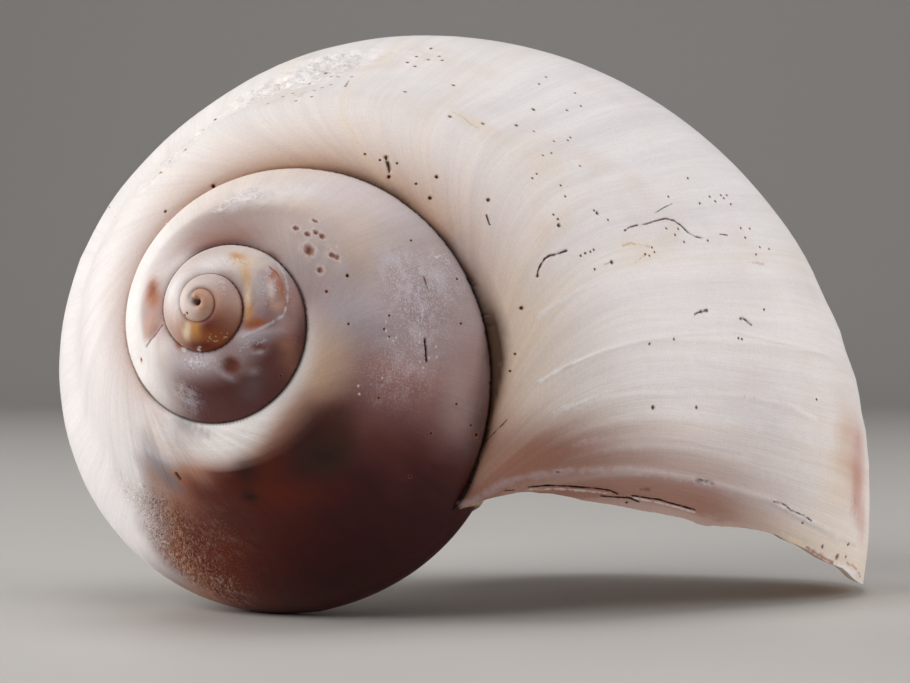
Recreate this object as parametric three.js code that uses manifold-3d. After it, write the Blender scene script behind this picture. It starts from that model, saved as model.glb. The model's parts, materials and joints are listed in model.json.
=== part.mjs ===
// A sea-snail shell lying on the rim of its mouth, apex towards the front.
// Millimetres, +Z up. The tube winds clockwise away from the apex, seen from the apex.
// Every place on the shell is a pair: turn, counted in whorls back from the lip (0) to the
// apex (negative), and around, the angle round the tube's cross-section.
import * as THREE from 'three';
import { mergeVertices } from 'three/addons/utils/BufferGeometryUtils.js';
import Module from 'manifold-3d';

// Cross-section at the lip: a leaning oval with a rounded shoulder, measured from the shell's axis.
const SECTION_CENTRE_OUT = 30.2;
const SECTION_CENTRE_DOWN = 59.6;
const SECTION_HALF_WIDTH = 24.6;
const SECTION_HALF_HEIGHT = 33.5;
const SECTION_LEAN = 0.424;
const SECTION_LEAN_PER_TURN = -0.02;
const THREE_LOBE = { cos: -0.107, sin: -0.043, sinPerTurn: 0.054 };
const FOUR_LOBE = { cos: -0.012, sin: -0.027 };

// Growth: the logarithm of the size, and of the extra drop of the section, as powers of turn.
const SIZE_GROWTH = [1.008, 0.165, 0.0248];
const SIZE_RIPPLE = 0.0506;
const DROP_GROWTH = [0.144, -0.0057];
const APEX_LIFT = 2.2;
const APEX_LIFT_SIZE = 0.16;
const FIRST_TURN = -4.5;

// Lip: how far it runs ahead of or behind turn 0, in turns, round the section, in degrees.
const LIP_LEVEL = -0.004;
const LIP_REACH = { turns: 0.075, from: 72, to: 112, fade: 13 };
const LIP_WAVES = [
  { turns: 0.0045, at: 38, width: 16 },
  { turns: -0.0045, at: -8, width: 14 },
  { turns: -0.024, at: -115, width: 40 },
];
const LIP_ANGLE = 21.45;

// Wall: thin at the lip, thicker behind it, thickest along the inner pillar.
const WALL_AT_LIP = 0.9;
const WALL_BEHIND = 2.1;
const WALL_FADE_TURNS = 0.09;
const WALL_SIZE_POWER = 0.3;
const PILLAR = { extra: 0.9, at: 160, width: 45 };
const SHOULDER = { extra: 0.1, at: 70 };
const HOLLOW_FROM_TURN = -2;
const HOLLOW_PAST_LIP = 0.03;

// Callus lobe: a swelling of the inner lip over the navel.
const LOBE = { height: 2.4, at: 165, width: 28, turn: -0.03, turns: 0.05 };

// Glaze: the thin coat that the mouth lays over the older whorls it covers.
const GLAZE = 0.5;

// Facets round the section, and rings along the spiral in each whorl.
const AROUND = 34;
const HOLLOW_AROUND = 24;
const CROWDING = { at: 62, share: 0.32 };
const RINGS = [
  { upTo: -3, perTurn: 14 },
  { upTo: -2, perTurn: 18 },
  { upTo: -1, perTurn: 24 },
  { upTo: 0, perTurn: 32 },
];
const HOLLOW_RINGS_PER_TURN = 22;
const OUTER_PIECE_TURNS = 0.8;
const HOLLOW_PIECE_TURNS = 0.5;
const HOLLOW_OVERLAP_TURNS = 0.05;
const COVERED_UNTIL_TURNS = 0.3;
const LIP_BEND_TURNS = 0.4;

// How the shell lies: the apex turned to the left of the front, and tipped up from level.
const APEX_TO_LEFT = 17.76;
const APEX_TIPPED_UP = 10.37;

const rad = THREE.MathUtils.degToRad;

const polynomial = (factors, t) => factors.reduce((sum, factor, i) => sum + factor * t ** (i + 1), 0);

function bell(distance, width) {
  return Math.exp(-((distance / width) ** 2));
}

function degreesApart(around, at) {
  const apart = THREE.MathUtils.euclideanModulo(around - at + 180, 360) - 180;
  return apart;
}

function size(turn) {
  const ripple = SIZE_RIPPLE * (Math.cos(2 * Math.PI * turn) - 1);
  return Math.exp(polynomial(SIZE_GROWTH, turn) + ripple);
}

function lobeHeight(turn, around) {
  return LOBE.height * bell(degreesApart(around, LOBE.at), LOBE.width) * bell(turn - LOBE.turn, LOBE.turns);
}

// The bare section curve: distance from the axis and height along it.
function sectionCurve(turn, around) {
  const scale = size(turn);
  const angle = rad(around);
  const sin3 = THREE_LOBE.sin + THREE_LOBE.sinPerTurn * turn;
  const lobes = 1 + THREE_LOBE.cos * Math.cos(3 * angle) + sin3 * Math.sin(3 * angle)
    + FOUR_LOBE.cos * Math.cos(4 * angle) + FOUR_LOBE.sin * Math.sin(4 * angle);
  const wide = SECTION_HALF_WIDTH * Math.cos(angle) * lobes;
  const high = SECTION_HALF_HEIGHT * Math.sin(angle) * lobes;
  const lean = SECTION_LEAN + SECTION_LEAN_PER_TURN * turn;
  const out = SECTION_CENTRE_OUT + Math.cos(lean) * wide - Math.sin(lean) * high;
  const up = Math.sin(lean) * wide + Math.cos(lean) * high;
  const drop = SECTION_CENTRE_DOWN * scale * Math.exp(polynomial(DROP_GROWTH, turn));
  const lift = APEX_LIFT * Math.exp(-scale / APEX_LIFT_SIZE);
  return new THREE.Vector2(out * scale, up * scale - drop + lift);
}

// The same curve moved along its own normal; a positive move is outwards.
function sectionPoint(turn, around, move) {
  const point = sectionCurve(turn, around);
  const ahead = sectionCurve(turn, around + 0.5);
  const behind = sectionCurve(turn, around - 0.5);
  const along = ahead.sub(behind).normalize();
  return new THREE.Vector2(point.x + along.y * move, point.y - along.x * move);
}

// The lip runs ahead where it lies on the older whorl, from the suture inwards.
function lipTurn(around) {
  const middle = (LIP_REACH.from + LIP_REACH.to) / 2;
  const half = (LIP_REACH.to - LIP_REACH.from) / 2;
  const beyond = Math.max(0, Math.abs(degreesApart(around, middle)) - half);
  const reach = LIP_REACH.turns * Math.exp(-beyond / LIP_REACH.fade);
  const waves = LIP_WAVES.reduce((sum, wave) => sum + wave.turns * bell(degreesApart(around, wave.at), wave.width), 0);
  return LIP_LEVEL + reach + waves;
}

function wallThickness(turn, around) {
  const behindLip = 1 - Math.exp(-Math.max(0, lipTurn(around) - turn) / WALL_FADE_TURNS);
  const wall = WALL_AT_LIP + (WALL_BEHIND - WALL_AT_LIP) * behindLip;
  const pillar = 1 + PILLAR.extra * bell(degreesApart(around, PILLAR.at), PILLAR.width);
  const shoulder = 1 + SHOULDER.extra * Math.cos(rad(around - SHOULDER.at));
  return wall * pillar * shoulder * size(Math.min(turn, 0)) ** WALL_SIZE_POWER;
}

function inSpace(turn, point) {
  const angle = rad(LIP_ANGLE) + 2 * Math.PI * turn;
  return [point.x * Math.cos(angle), -point.x * Math.sin(angle), point.y];
}

// Angles round the section, closer together where the lip climbs to the suture.
function anglesRound(count) {
  const crowd = THREE.MathUtils.radToDeg(CROWDING.share);
  return Array.from({ length: count }, (_, j) => {
    const even = (360 * j) / count;
    return even - crowd * Math.sin(rad(even - CROWDING.at));
  });
}

// Rings near the lip bend over to its line, and the last ring is that line.
function bentTurn(turn, around) {
  const bend = THREE.MathUtils.clamp(1 + turn / LIP_BEND_TURNS, 0, 1) ** 2;
  return turn + lipTurn(around) * bend;
}

// A closed tube: rings of points swept along the spiral, with a fan over each end.
function sweptTube(turns, around, moveAt) {
  const positions = [];
  const indices = [];
  const angles = anglesRound(around);
  for (const ringTurn of turns) {
    for (const angle of angles) {
      const turn = bentTurn(ringTurn, angle);
      positions.push(...inSpace(turn, sectionPoint(turn, angle, moveAt(turn, angle))));
    }
  }
  const last = turns.length - 1;
  for (let i = 0; i < last; i += 1) {
    for (let j = 0; j < around; j += 1) {
      const a = i * around + j;
      const b = i * around + ((j + 1) % around);
      indices.push(a, b, a + around, b, b + around, a + around);
    }
  }
  for (const ring of [0, last]) {
    const centre = positions.length / 3;
    const middle = new THREE.Vector3();
    for (let j = 0; j < around; j += 1) {
      middle.add(new THREE.Vector3().fromArray(positions, 3 * (ring * around + j)));
    }
    middle.divideScalar(around);
    positions.push(middle.x, middle.y, middle.z);
    for (let j = 0; j < around; j += 1) {
      const a = ring * around + j;
      const b = ring * around + ((j + 1) % around);
      indices.push(...(ring === 0 ? [centre, b, a] : [centre, a, b]));
    }
  }
  const geometry = new THREE.BufferGeometry();
  geometry.setAttribute('position', new THREE.Float32BufferAttribute(positions, 3));
  geometry.setIndex(indices);
  return geometry;
}

const wasm = await Module();
wasm.setup();

function solidOf(geometry) {
  const merged = mergeVertices(geometry);
  const vertProperties = new Float32Array(merged.attributes.position.array);
  const triVerts = new Uint32Array(merged.index.array);
  return new wasm.Manifold(new wasm.Mesh({ numProp: 3, vertProperties, triVerts }));
}

function geometryOf(solid) {
  const mesh = solid.getMesh();
  const geometry = new THREE.BufferGeometry();
  geometry.setAttribute('position', new THREE.BufferAttribute(mesh.vertProperties, 3));
  geometry.setIndex(new THREE.BufferAttribute(mesh.triVerts, 1));
  geometry.computeVertexNormals();
  return geometry;
}

function ringTurns() {
  const turns = [];
  let from = FIRST_TURN;
  for (const { upTo, perTurn } of RINGS) {
    const count = Math.round((upTo - from) * perTurn);
    for (let i = 0; i < count; i += 1) {
      turns.push(from + ((upTo - from) * i) / count);
    }
    from = upTo;
  }
  turns.push(from);
  return turns;
}

// The filled form of the spiral up to a turn, joined from tubes of less than one whorl.
function filledTo(turns, move) {
  let filled = null;
  let first = 0;
  while (first < turns.length - 1) {
    let last = first + 1;
    while (last < turns.length - 1 && turns[last] - turns[first] < OUTER_PIECE_TURNS) {
      last += 1;
    }
    const piece = solidOf(sweptTube(turns.slice(first, last + 1), AROUND, move));
    filled = filled === null ? piece : filled.add(piece);
    first = last;
  }
  return filled;
}

// The hollow, half a whorl at a time, each cut back by the glazed older whorls that it passes.
function hollow(turns) {
  const pieces = Math.round(-HOLLOW_FROM_TURN / HOLLOW_PIECE_TURNS);
  const step = 1 / HOLLOW_RINGS_PER_TURN;
  let whole = null;
  for (let i = 0; i < pieces; i += 1) {
    const from = HOLLOW_FROM_TURN + i * HOLLOW_PIECE_TURNS;
    const past = i === pieces - 1 ? HOLLOW_PAST_LIP : HOLLOW_OVERLAP_TURNS;
    const rings = [];
    for (let turn = from; turn < from + HOLLOW_PIECE_TURNS - step / 2; turn += step) {
      rings.push(turn);
    }
    rings.push(from + HOLLOW_PIECE_TURNS, from + HOLLOW_PIECE_TURNS + past);
    const tube = solidOf(sweptTube(rings, HOLLOW_AROUND, (turn, around) => -wallThickness(turn, around)));
    const older = turns.filter((turn) => turn <= from - COVERED_UNTIL_TURNS);
    const piece = tube.subtract(filledTo(older, () => GLAZE));
    whole = whole === null ? piece : whole.add(piece);
  }
  return whole;
}

// The cuts can leave crumbs of no volume along a suture: the shell is the largest piece.
function buildShell() {
  const turns = ringTurns();
  const pieces = filledTo(turns, lobeHeight).subtract(hollow(turns)).decompose();
  const whole = pieces.reduce((best, piece) => (piece.volume() > best.volume() ? piece : best));
  return geometryOf(whole);
}

const shellMaterial = new THREE.MeshStandardMaterial({ color: 0xe6dccf, roughness: 0.5, metalness: 0 });
const shell = new THREE.Mesh(buildShell(), shellMaterial);
shell.name = 'shell';

const lean = new THREE.Group();
lean.rotation.x = rad(90 - APEX_TIPPED_UP);
lean.add(shell);

const turned = new THREE.Group();
turned.rotation.z = -rad(APEX_TO_LEFT);
turned.add(lean);

// The origin is on the ground, under the middle of the shell.
const part = new THREE.Group();
part.add(turned);
const box = new THREE.Box3().setFromObject(part, true);
turned.position.set(-(box.min.x + box.max.x) / 2, -(box.min.y + box.max.y) / 2, -box.min.z);

export default part;
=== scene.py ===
"""A sea-snail shell on a pale floor: one coiled tube, hollowed, worn and coloured.

Every place on the shell is a pair, as on the CAD solid: the turn, counted in whorls back
from the lip (0) to the apex (negative), and around, the angle in degrees round the tube's
section. Sizes of the shell are in millimetres until its mesh is made, which is in metres.
"""

import json
import logging
import math
from dataclasses import dataclass, field
from enum import Enum

import bmesh
import bpy
import numpy as np
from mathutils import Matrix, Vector
from mathutils.bvhtree import BVHTree
from mathutils.kdtree import KDTree

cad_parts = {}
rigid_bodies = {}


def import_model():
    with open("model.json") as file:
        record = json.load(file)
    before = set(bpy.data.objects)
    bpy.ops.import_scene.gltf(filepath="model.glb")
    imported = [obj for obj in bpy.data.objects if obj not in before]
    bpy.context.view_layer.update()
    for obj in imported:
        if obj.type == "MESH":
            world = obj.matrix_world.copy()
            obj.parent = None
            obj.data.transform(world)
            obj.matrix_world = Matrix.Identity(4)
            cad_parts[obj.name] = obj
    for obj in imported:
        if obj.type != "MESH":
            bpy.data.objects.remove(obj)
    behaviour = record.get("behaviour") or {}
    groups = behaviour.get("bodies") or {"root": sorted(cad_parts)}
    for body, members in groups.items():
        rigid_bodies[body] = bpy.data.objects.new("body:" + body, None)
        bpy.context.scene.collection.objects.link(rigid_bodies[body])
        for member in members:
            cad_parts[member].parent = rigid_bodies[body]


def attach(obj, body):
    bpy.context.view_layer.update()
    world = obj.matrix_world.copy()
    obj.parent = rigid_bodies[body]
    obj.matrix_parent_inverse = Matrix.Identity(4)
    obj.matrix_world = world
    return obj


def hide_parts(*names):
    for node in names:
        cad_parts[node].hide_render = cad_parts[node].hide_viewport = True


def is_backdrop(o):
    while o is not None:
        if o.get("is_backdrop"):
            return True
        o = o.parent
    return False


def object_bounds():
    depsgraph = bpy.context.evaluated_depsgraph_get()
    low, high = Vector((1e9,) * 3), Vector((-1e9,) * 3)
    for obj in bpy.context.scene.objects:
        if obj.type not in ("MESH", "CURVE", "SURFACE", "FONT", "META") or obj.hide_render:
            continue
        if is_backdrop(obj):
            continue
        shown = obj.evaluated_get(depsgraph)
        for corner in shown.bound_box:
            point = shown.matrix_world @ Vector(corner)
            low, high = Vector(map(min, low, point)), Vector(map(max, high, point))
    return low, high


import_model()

Array = np.ndarray
LOG = logging.getLogger("shell")
METRE = 0.001


def bell(distance: Array, width: float) -> Array:
    """A smooth bump of height one.

    Args:
        distance: How far each place is from the bump's middle.
        width: The distance at which the bump has fallen to 37%.

    Returns:
        exp of minus the square of distance over width.
    """
    return np.exp(-((distance / width) ** 2))


def apart(around: Array, at: float) -> Array:
    """Degrees from one angle to others, between -180 and 180.

    Args:
        around: Angles in degrees.
        at: The angle they are counted from.

    Returns:
        The signed differences.
    """
    return (around - at + 180.0) % 360.0 - 180.0


def ramp(value: Array, low: float, high: float) -> Array:
    """A smooth step from 0 to 1.

    Args:
        value: The values to map.
        low: Where the step starts.
        high: Where it ends; it may lie below low.

    Returns:
        x squared times (3 - 2x), with x the clamped share of the way from low to high.
    """
    share = np.clip((value - low) / (high - low), 0.0, 1.0)
    return share * share * (3.0 - 2.0 * share)


def blended(under: Array, over: Array, cover: Array) -> Array:
    """Colours laid over others.

    Args:
        under: Colours below, one row each.
        over: One colour, or one row each.
        cover: How much the upper colour hides, from 0 to 1.

    Returns:
        The mixed rows.
    """
    return under + (over - under) * cover[:, None]


class Tone(Enum):
    """The shell's colours, as the 0 to 255 steps of a screen."""

    CHALK = (246, 241, 239)
    PEARL = (244, 240, 241)
    MILK = (237, 223, 212)
    CREAM = (238, 216, 186)
    BONE = (224, 209, 203)
    SAND = (222, 192, 164)
    HONEY = (212, 174, 142)
    CLAY = (196, 154, 134)
    FAWN = (152, 106, 90)
    TAN = (168, 116, 90)
    LAVENDER = (206, 198, 208)
    DUSK = (186, 172, 170)
    MAUVE = (170, 148, 148)
    BLUSH = (162, 122, 116)
    HEATHER = (128, 88, 86)
    SLATE = (122, 118, 126)
    ROSE = (196, 112, 92)
    AMBER = (202, 142, 72)
    OCHRE = (160, 86, 38)
    COCOA = (92, 47, 44)
    RUST = (108, 48, 32)
    UMBER = (84, 28, 16)
    WINE = (62, 20, 23)
    EMBER = (98, 32, 12)
    PLUM = (48, 15, 18)
    PEAT = (90, 36, 6)
    EARTH = (64, 38, 24)
    MOSS = (100, 88, 48)
    SOOT = (24, 14, 10)

    def light(self) -> Array:
        """The colour in linear light."""
        step = np.array(self.value) / 255.0
        return np.where(step <= 0.04045, step / 12.92, ((step + 0.055) / 1.055) ** 2.4)


@dataclass(frozen=True)
class Mottle:
    """Smooth noise in space: seeded random values on a cubic lattice, eased between corners."""

    seed: int
    side: int = 48

    def at(self, points: Array, cell: float) -> Array:
        """Noise between -1 and 1.

        Args:
            points: Points, one row each.
            cell: Size of a lattice cell, in the points' unit.

        Returns:
            One value for each point.
        """
        lattice = np.random.default_rng(self.seed).uniform(-1.0, 1.0, (self.side,) * 3)
        low = np.floor(points / cell).astype(int)
        share = points / cell - low
        share = share * share * (3.0 - 2.0 * share)
        total = np.zeros(len(points))
        for corner in np.ndindex(2, 2, 2):
            near = (low + corner) % self.side
            weight = np.prod(np.where(corner, share, 1.0 - share), axis=1)
            total += lattice[near[:, 0], near[:, 1], near[:, 2]] * weight
        return total


@dataclass(frozen=True)
class Wave:
    """A bump of the lip line: its height in turns, its place and its width in degrees."""

    turns: float
    at: float
    width: float


@dataclass(frozen=True)
class Lip:
    """The course of the lip, and of each growth line, ahead of or behind a straight section.

    Args:
        level: Turns by which the whole lip is set back.
        reach: Turns by which it runs ahead on the older whorl.
        reach_middle: Middle of that stretch, in degrees.
        reach_half: Half its length, in degrees.
        reach_fade: Degrees over which it falls off beside it.
        waves: The shallow waves of the outer lip.
    """

    level: float = -0.004
    reach: float = 0.075
    reach_middle: float = 92.0
    reach_half: float = 20.0
    reach_fade: float = 13.0
    waves: tuple[Wave, ...] = (
        Wave(0.0045, 38.0, 16.0),
        Wave(-0.0045, -8.0, 14.0),
        Wave(-0.024, -115.0, 40.0),
        Wave(0.0018, 49.0, 5.5),
        Wave(0.0021, 16.0, 6.0),
        Wave(0.001, -10.0, 2.5),
        Wave(-0.0016, -27.0, 5.0),
    )

    def ahead(self, around: Array, turns: float) -> Array:
        """Turns by which a line leans ahead towards the suture, fading exponentially."""
        beyond = np.abs(apart(around, self.reach_middle)) - self.reach_half
        return turns * np.exp(-np.maximum(0.0, beyond) / self.reach_fade)

    def turn(self, around: Array) -> Array:
        """The turn of the lip line at each angle: level, reach and waves added up."""
        line = self.level + self.ahead(around, self.reach)
        for wave in self.waves:
            line = line + wave.turns * bell(apart(around, wave.at), wave.width)
        return line


@dataclass(frozen=True)
class Coil:
    """The outer form: a leaning oval that is carried round the axis as it grows."""

    centre_out: float = 30.2
    centre_down: float = 59.6
    half_width: float = 24.6
    half_height: float = 33.5
    lean: float = 0.424
    lean_per_turn: float = -0.02
    three_cos: float = -0.107
    three_sin: float = -0.043
    three_sin_per_turn: float = 0.054
    four_cos: float = -0.012
    four_sin: float = -0.027
    growth: tuple[float, float, float] = (1.008, 0.165, 0.0248)
    ripple: float = 0.0506
    drop: tuple[float, float] = (0.144, -0.0057)
    apex_lift: float = 2.2
    apex_lift_size: float = 0.16
    first_turn: float = -4.5
    lip_angle: float = 21.45
    callus_height: float = 2.4
    callus_at: float = 165.0
    callus_width: float = 28.0
    callus_turn: float = -0.03
    callus_turns: float = 0.05
    core_height: float = 0.2
    core_width: float = 70.0
    core_turns: tuple[float, float] = (-4.1, -3.7)

    def size(self, turn: Array) -> Array:
        """Size against the lip's: exp of a cubic in turn, with one ripple a whorl."""
        cubic = sum(factor * turn ** (i + 1) for i, factor in enumerate(self.growth))
        return np.exp(cubic + self.ripple * (np.cos(2.0 * np.pi * turn) - 1.0))

    def lobes(self, turn: Array, angle: Array) -> Array:
        """How far the section stands out from an oval, as a factor, at an angle in radians."""
        three_sin = self.three_sin + self.three_sin_per_turn * turn
        third = self.three_cos * np.cos(3.0 * angle) + three_sin * np.sin(3.0 * angle)
        fourth = self.four_cos * np.cos(4.0 * angle) + self.four_sin * np.sin(4.0 * angle)
        return 1.0 + third + fourth

    def centre_height(self, turn: Array) -> Array:
        """Height of the section's centre along the axis."""
        scale = self.size(turn)
        fall = np.exp(self.drop[0] * turn + self.drop[1] * turn**2)
        lift = self.apex_lift * np.exp(-scale / self.apex_lift_size)
        return lift - self.centre_down * scale * fall

    def section(self, turn: Array, around: Array) -> tuple[Array, Array]:
        """The bare section curve: a lobed oval, leaned, scaled and lowered with the turn.

        Args:
            turn: Turns.
            around: Angles round the section, in degrees.

        Returns:
            Distance from the axis, and height along it.
        """
        scale = self.size(turn)
        angle = np.radians(around)
        lobes = self.lobes(turn, angle)
        wide = self.half_width * np.cos(angle) * lobes
        high = self.half_height * np.sin(angle) * lobes
        lean = self.lean + self.lean_per_turn * turn
        out = self.centre_out + np.cos(lean) * wide - np.sin(lean) * high
        rise = np.sin(lean) * wide + np.cos(lean) * high
        return out * scale, rise * scale + self.centre_height(turn)

    def moved_section(self, turn: Array, around: Array, move: Array) -> tuple[Array, Array]:
        """The section curve moved along its own normal in its plane; positive is outwards."""
        out, height = self.section(turn, around)
        out_ahead, height_ahead = self.section(turn, around + 0.5)
        out_behind, height_behind = self.section(turn, around - 0.5)
        along_out = out_ahead - out_behind
        along_height = height_ahead - height_behind
        length = np.hypot(along_out, along_height)
        return out + along_height / length * move, height - along_out / length * move

    def place(self, turn: Array, around: Array, move: Array) -> Array:
        """Points of the moved surface, the section turned clockwise round the axis.

        Args:
            turn: Turns.
            around: Angles round the section, in degrees.
            move: Millimetres outwards along the section's normal.

        Returns:
            Points in the shell's own frame, whose axis is Z with the apex up.
        """
        out, height = self.moved_section(turn, around, move)
        angle = np.radians(self.lip_angle) + 2.0 * np.pi * turn
        return np.stack([out * np.cos(angle), -out * np.sin(angle), height], -1)

    def callus(self, turn: Array, around: Array) -> Array:
        """Height of the callus on the inner lip, and of the first whorl's filled core."""
        lobe = bell(apart(around, self.callus_at), self.callus_width)
        lobe = self.callus_height * lobe * bell(turn - self.callus_turn, self.callus_turns)
        core = bell(apart(around, 180.0), self.core_width) * (1.0 - ramp(turn, *self.core_turns))
        return lobe + self.core_height * core

    def beside(self, out: Array, height: Array, turn: Array) -> tuple[Array, Array]:
        """Where points of one half-plane lie against the section of a turn there.

        The value is the point's reach over the section's reach at the same angle, less one.
        Its own slope, from two small steps, turns it into millimetres.

        Args:
            out: Distances from the axis.
            height: Heights along it.
            turn: The turn of the section that each point is set against.

        Returns:
            Angles round the section in degrees, and millimetres outside it.
        """
        step = 0.01
        value, around = self._reach(out, height, turn)
        slope_out = (self._reach(out + step, height, turn)[0] - value) / step
        slope_up = (self._reach(out, height + step, turn)[0] - value) / step
        return around, value / np.maximum(1e-6, np.hypot(slope_out, slope_up))

    def _reach(self, out: Array, height: Array, turn: Array) -> tuple[Array, Array]:
        """The value that beside() turns into millimetres, and the angle in degrees."""
        scale = self.size(turn)
        away = out / scale - self.centre_out
        rise = (height - self.centre_height(turn)) / scale
        lean = self.lean + self.lean_per_turn * turn
        wide = (np.cos(lean) * away + np.sin(lean) * rise) / self.half_width
        high = (np.cos(lean) * rise - np.sin(lean) * away) / self.half_height
        angle = np.arctan2(high, wide)
        return np.hypot(wide, high) / self.lobes(turn, angle) - 1.0, np.degrees(angle)


@dataclass(frozen=True)
class Wall:
    """Thickness of the shell's wall: thin at the lip, thick at the inner pillar."""

    at_lip: float = 0.9
    behind: float = 2.1
    fade: float = 0.09
    size_power: float = 0.3
    pillar: float = 0.9
    pillar_at: float = 160.0
    pillar_width: float = 45.0
    shoulder: float = 0.1
    shoulder_at: float = 70.0
    glaze: float = 0.5

    def thickness(self, coil: Coil, lip: Lip, turn: Array, around: Array) -> Array:
        """Millimetres of wall, growing exponentially behind the lip line.

        Args:
            coil: The outer form.
            lip: The lip line.
            turn: Turns.
            around: Angles round the section, in degrees.

        Returns:
            Thickness at each place.
        """
        behind_lip = 1.0 - np.exp(-np.maximum(0.0, lip.turn(around) - turn) / self.fade)
        wall = self.at_lip + (self.behind - self.at_lip) * behind_lip
        pillar = 1.0 + self.pillar * bell(apart(around, self.pillar_at), self.pillar_width)
        shoulder = 1.0 + self.shoulder * np.cos(np.radians(around - self.shoulder_at))
        return wall * pillar * shoulder * coil.size(np.minimum(turn, 0.0)) ** self.size_power


@dataclass(frozen=True)
class Stance:
    """How the shell lies: apex turned to the left of the front and tipped up."""

    apex_to_left: float = 17.76
    apex_tipped_up: float = 10.37
    origin: tuple[float, float, float] = (-27.183, -34.928, 33.458)

    def matrix(self) -> Array:
        """Rotation from the shell's own frame to the ground's: lean about X, then turn about Z."""
        lean = math.radians(90.0 - self.apex_tipped_up)
        turn = -math.radians(self.apex_to_left)
        about_x = np.array(
            [
                [1.0, 0.0, 0.0],
                [0.0, math.cos(lean), -math.sin(lean)],
                [0.0, math.sin(lean), math.cos(lean)],
            ]
        )
        about_z = np.array(
            [
                [math.cos(turn), -math.sin(turn), 0.0],
                [math.sin(turn), math.cos(turn), 0.0],
                [0.0, 0.0, 1.0],
            ]
        )
        return about_z @ about_x

    def to_ground(self, points: Array) -> Array:
        """Points of the shell's own frame, in the ground's frame, in millimetres."""
        return points @ self.matrix().T + np.array(self.origin)

    def to_shell(self, points: Array) -> Array:
        """Points of the ground's frame, in the shell's own, in millimetres."""
        return (points - np.array(self.origin)) @ self.matrix()


@dataclass(frozen=True)
class Viewpoint:
    """The camera: level, on the shell's front side, with a 100 mm lens."""

    away: tuple[float, float, float] = (25.05, -252.8, -3.77)
    lens: float = 100.0
    sensor: float = 36.0
    width: int = 910
    height: int = 683

    def place(self, stance: Stance) -> Array:
        """The camera's place in the ground's frame, in millimetres."""
        return np.array(stance.origin) + np.array(self.away)

    def pixels(self, stance: Stance, points: Array) -> Array:
        """Picture coordinates of points, by central projection along +Y.

        Args:
            stance: How the shell lies.
            points: Points in the ground's frame, in millimetres.

        Returns:
            Columns and rows of the picture.
        """
        focal = self.width * self.lens / self.sensor
        away = points - self.place(stance)
        column = self.width / 2 + focal * away[:, 0] / away[:, 1]
        row = self.height / 2 - focal * away[:, 2] / away[:, 1]
        return np.stack([column, row], -1)

    def ray(self, column: float, row: float) -> Array:
        """Direction in the ground's frame in which a place of the picture is seen."""
        focal = self.width * self.lens / self.sensor
        return np.array([(column - self.width / 2) / focal, 1.0, (self.height / 2 - row) / focal])

    def camera(self, stance: Stance) -> bpy.types.Object:
        """Makes the camera and gives it to the scene."""
        data = bpy.data.cameras.new("view")
        data.lens = self.lens
        data.sensor_width = self.sensor
        data.clip_start = 0.01
        data.clip_end = 20.0
        made = bpy.data.objects.new("view", data)
        made.location = Vector((self.place(stance) * METRE).tolist())
        made.rotation_euler = (math.pi / 2, 0.0, 0.0)
        bpy.context.scene.collection.objects.link(made)
        bpy.context.scene.camera = made
        return made


@dataclass(frozen=True)
class Stretch:
    """A stretch of the spiral that ends at a turn, and its rings per turn."""

    up_to: float
    per_turn: int


@dataclass(frozen=True)
class Grain:
    """How finely the tubes are cut into faces before they are joined."""

    stretches: tuple[Stretch, ...] = (
        Stretch(-3.0, 40),
        Stretch(-2.0, 64),
        Stretch(-1.0, 100),
        Stretch(0.0, 176),
    )
    around: int = 120
    hollow_around: int = 60
    hollow_per_turn: int = 48
    glazed_around: int = 72
    outer_piece: float = 0.8
    hollow_piece: float = 0.5
    hollow_from: float = -2.0
    hollow_overlap: float = 0.05
    hollow_past_lip: float = 0.03
    covered_until: float = 0.3
    bend: float = 0.4
    round_start: float = 0.16


class Surface(Enum):
    """The sides of the wall: its outside, its inside, and the glaze on an older whorl."""

    OUTSIDE = 0
    INSIDE = 1
    GLAZE = 2


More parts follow.
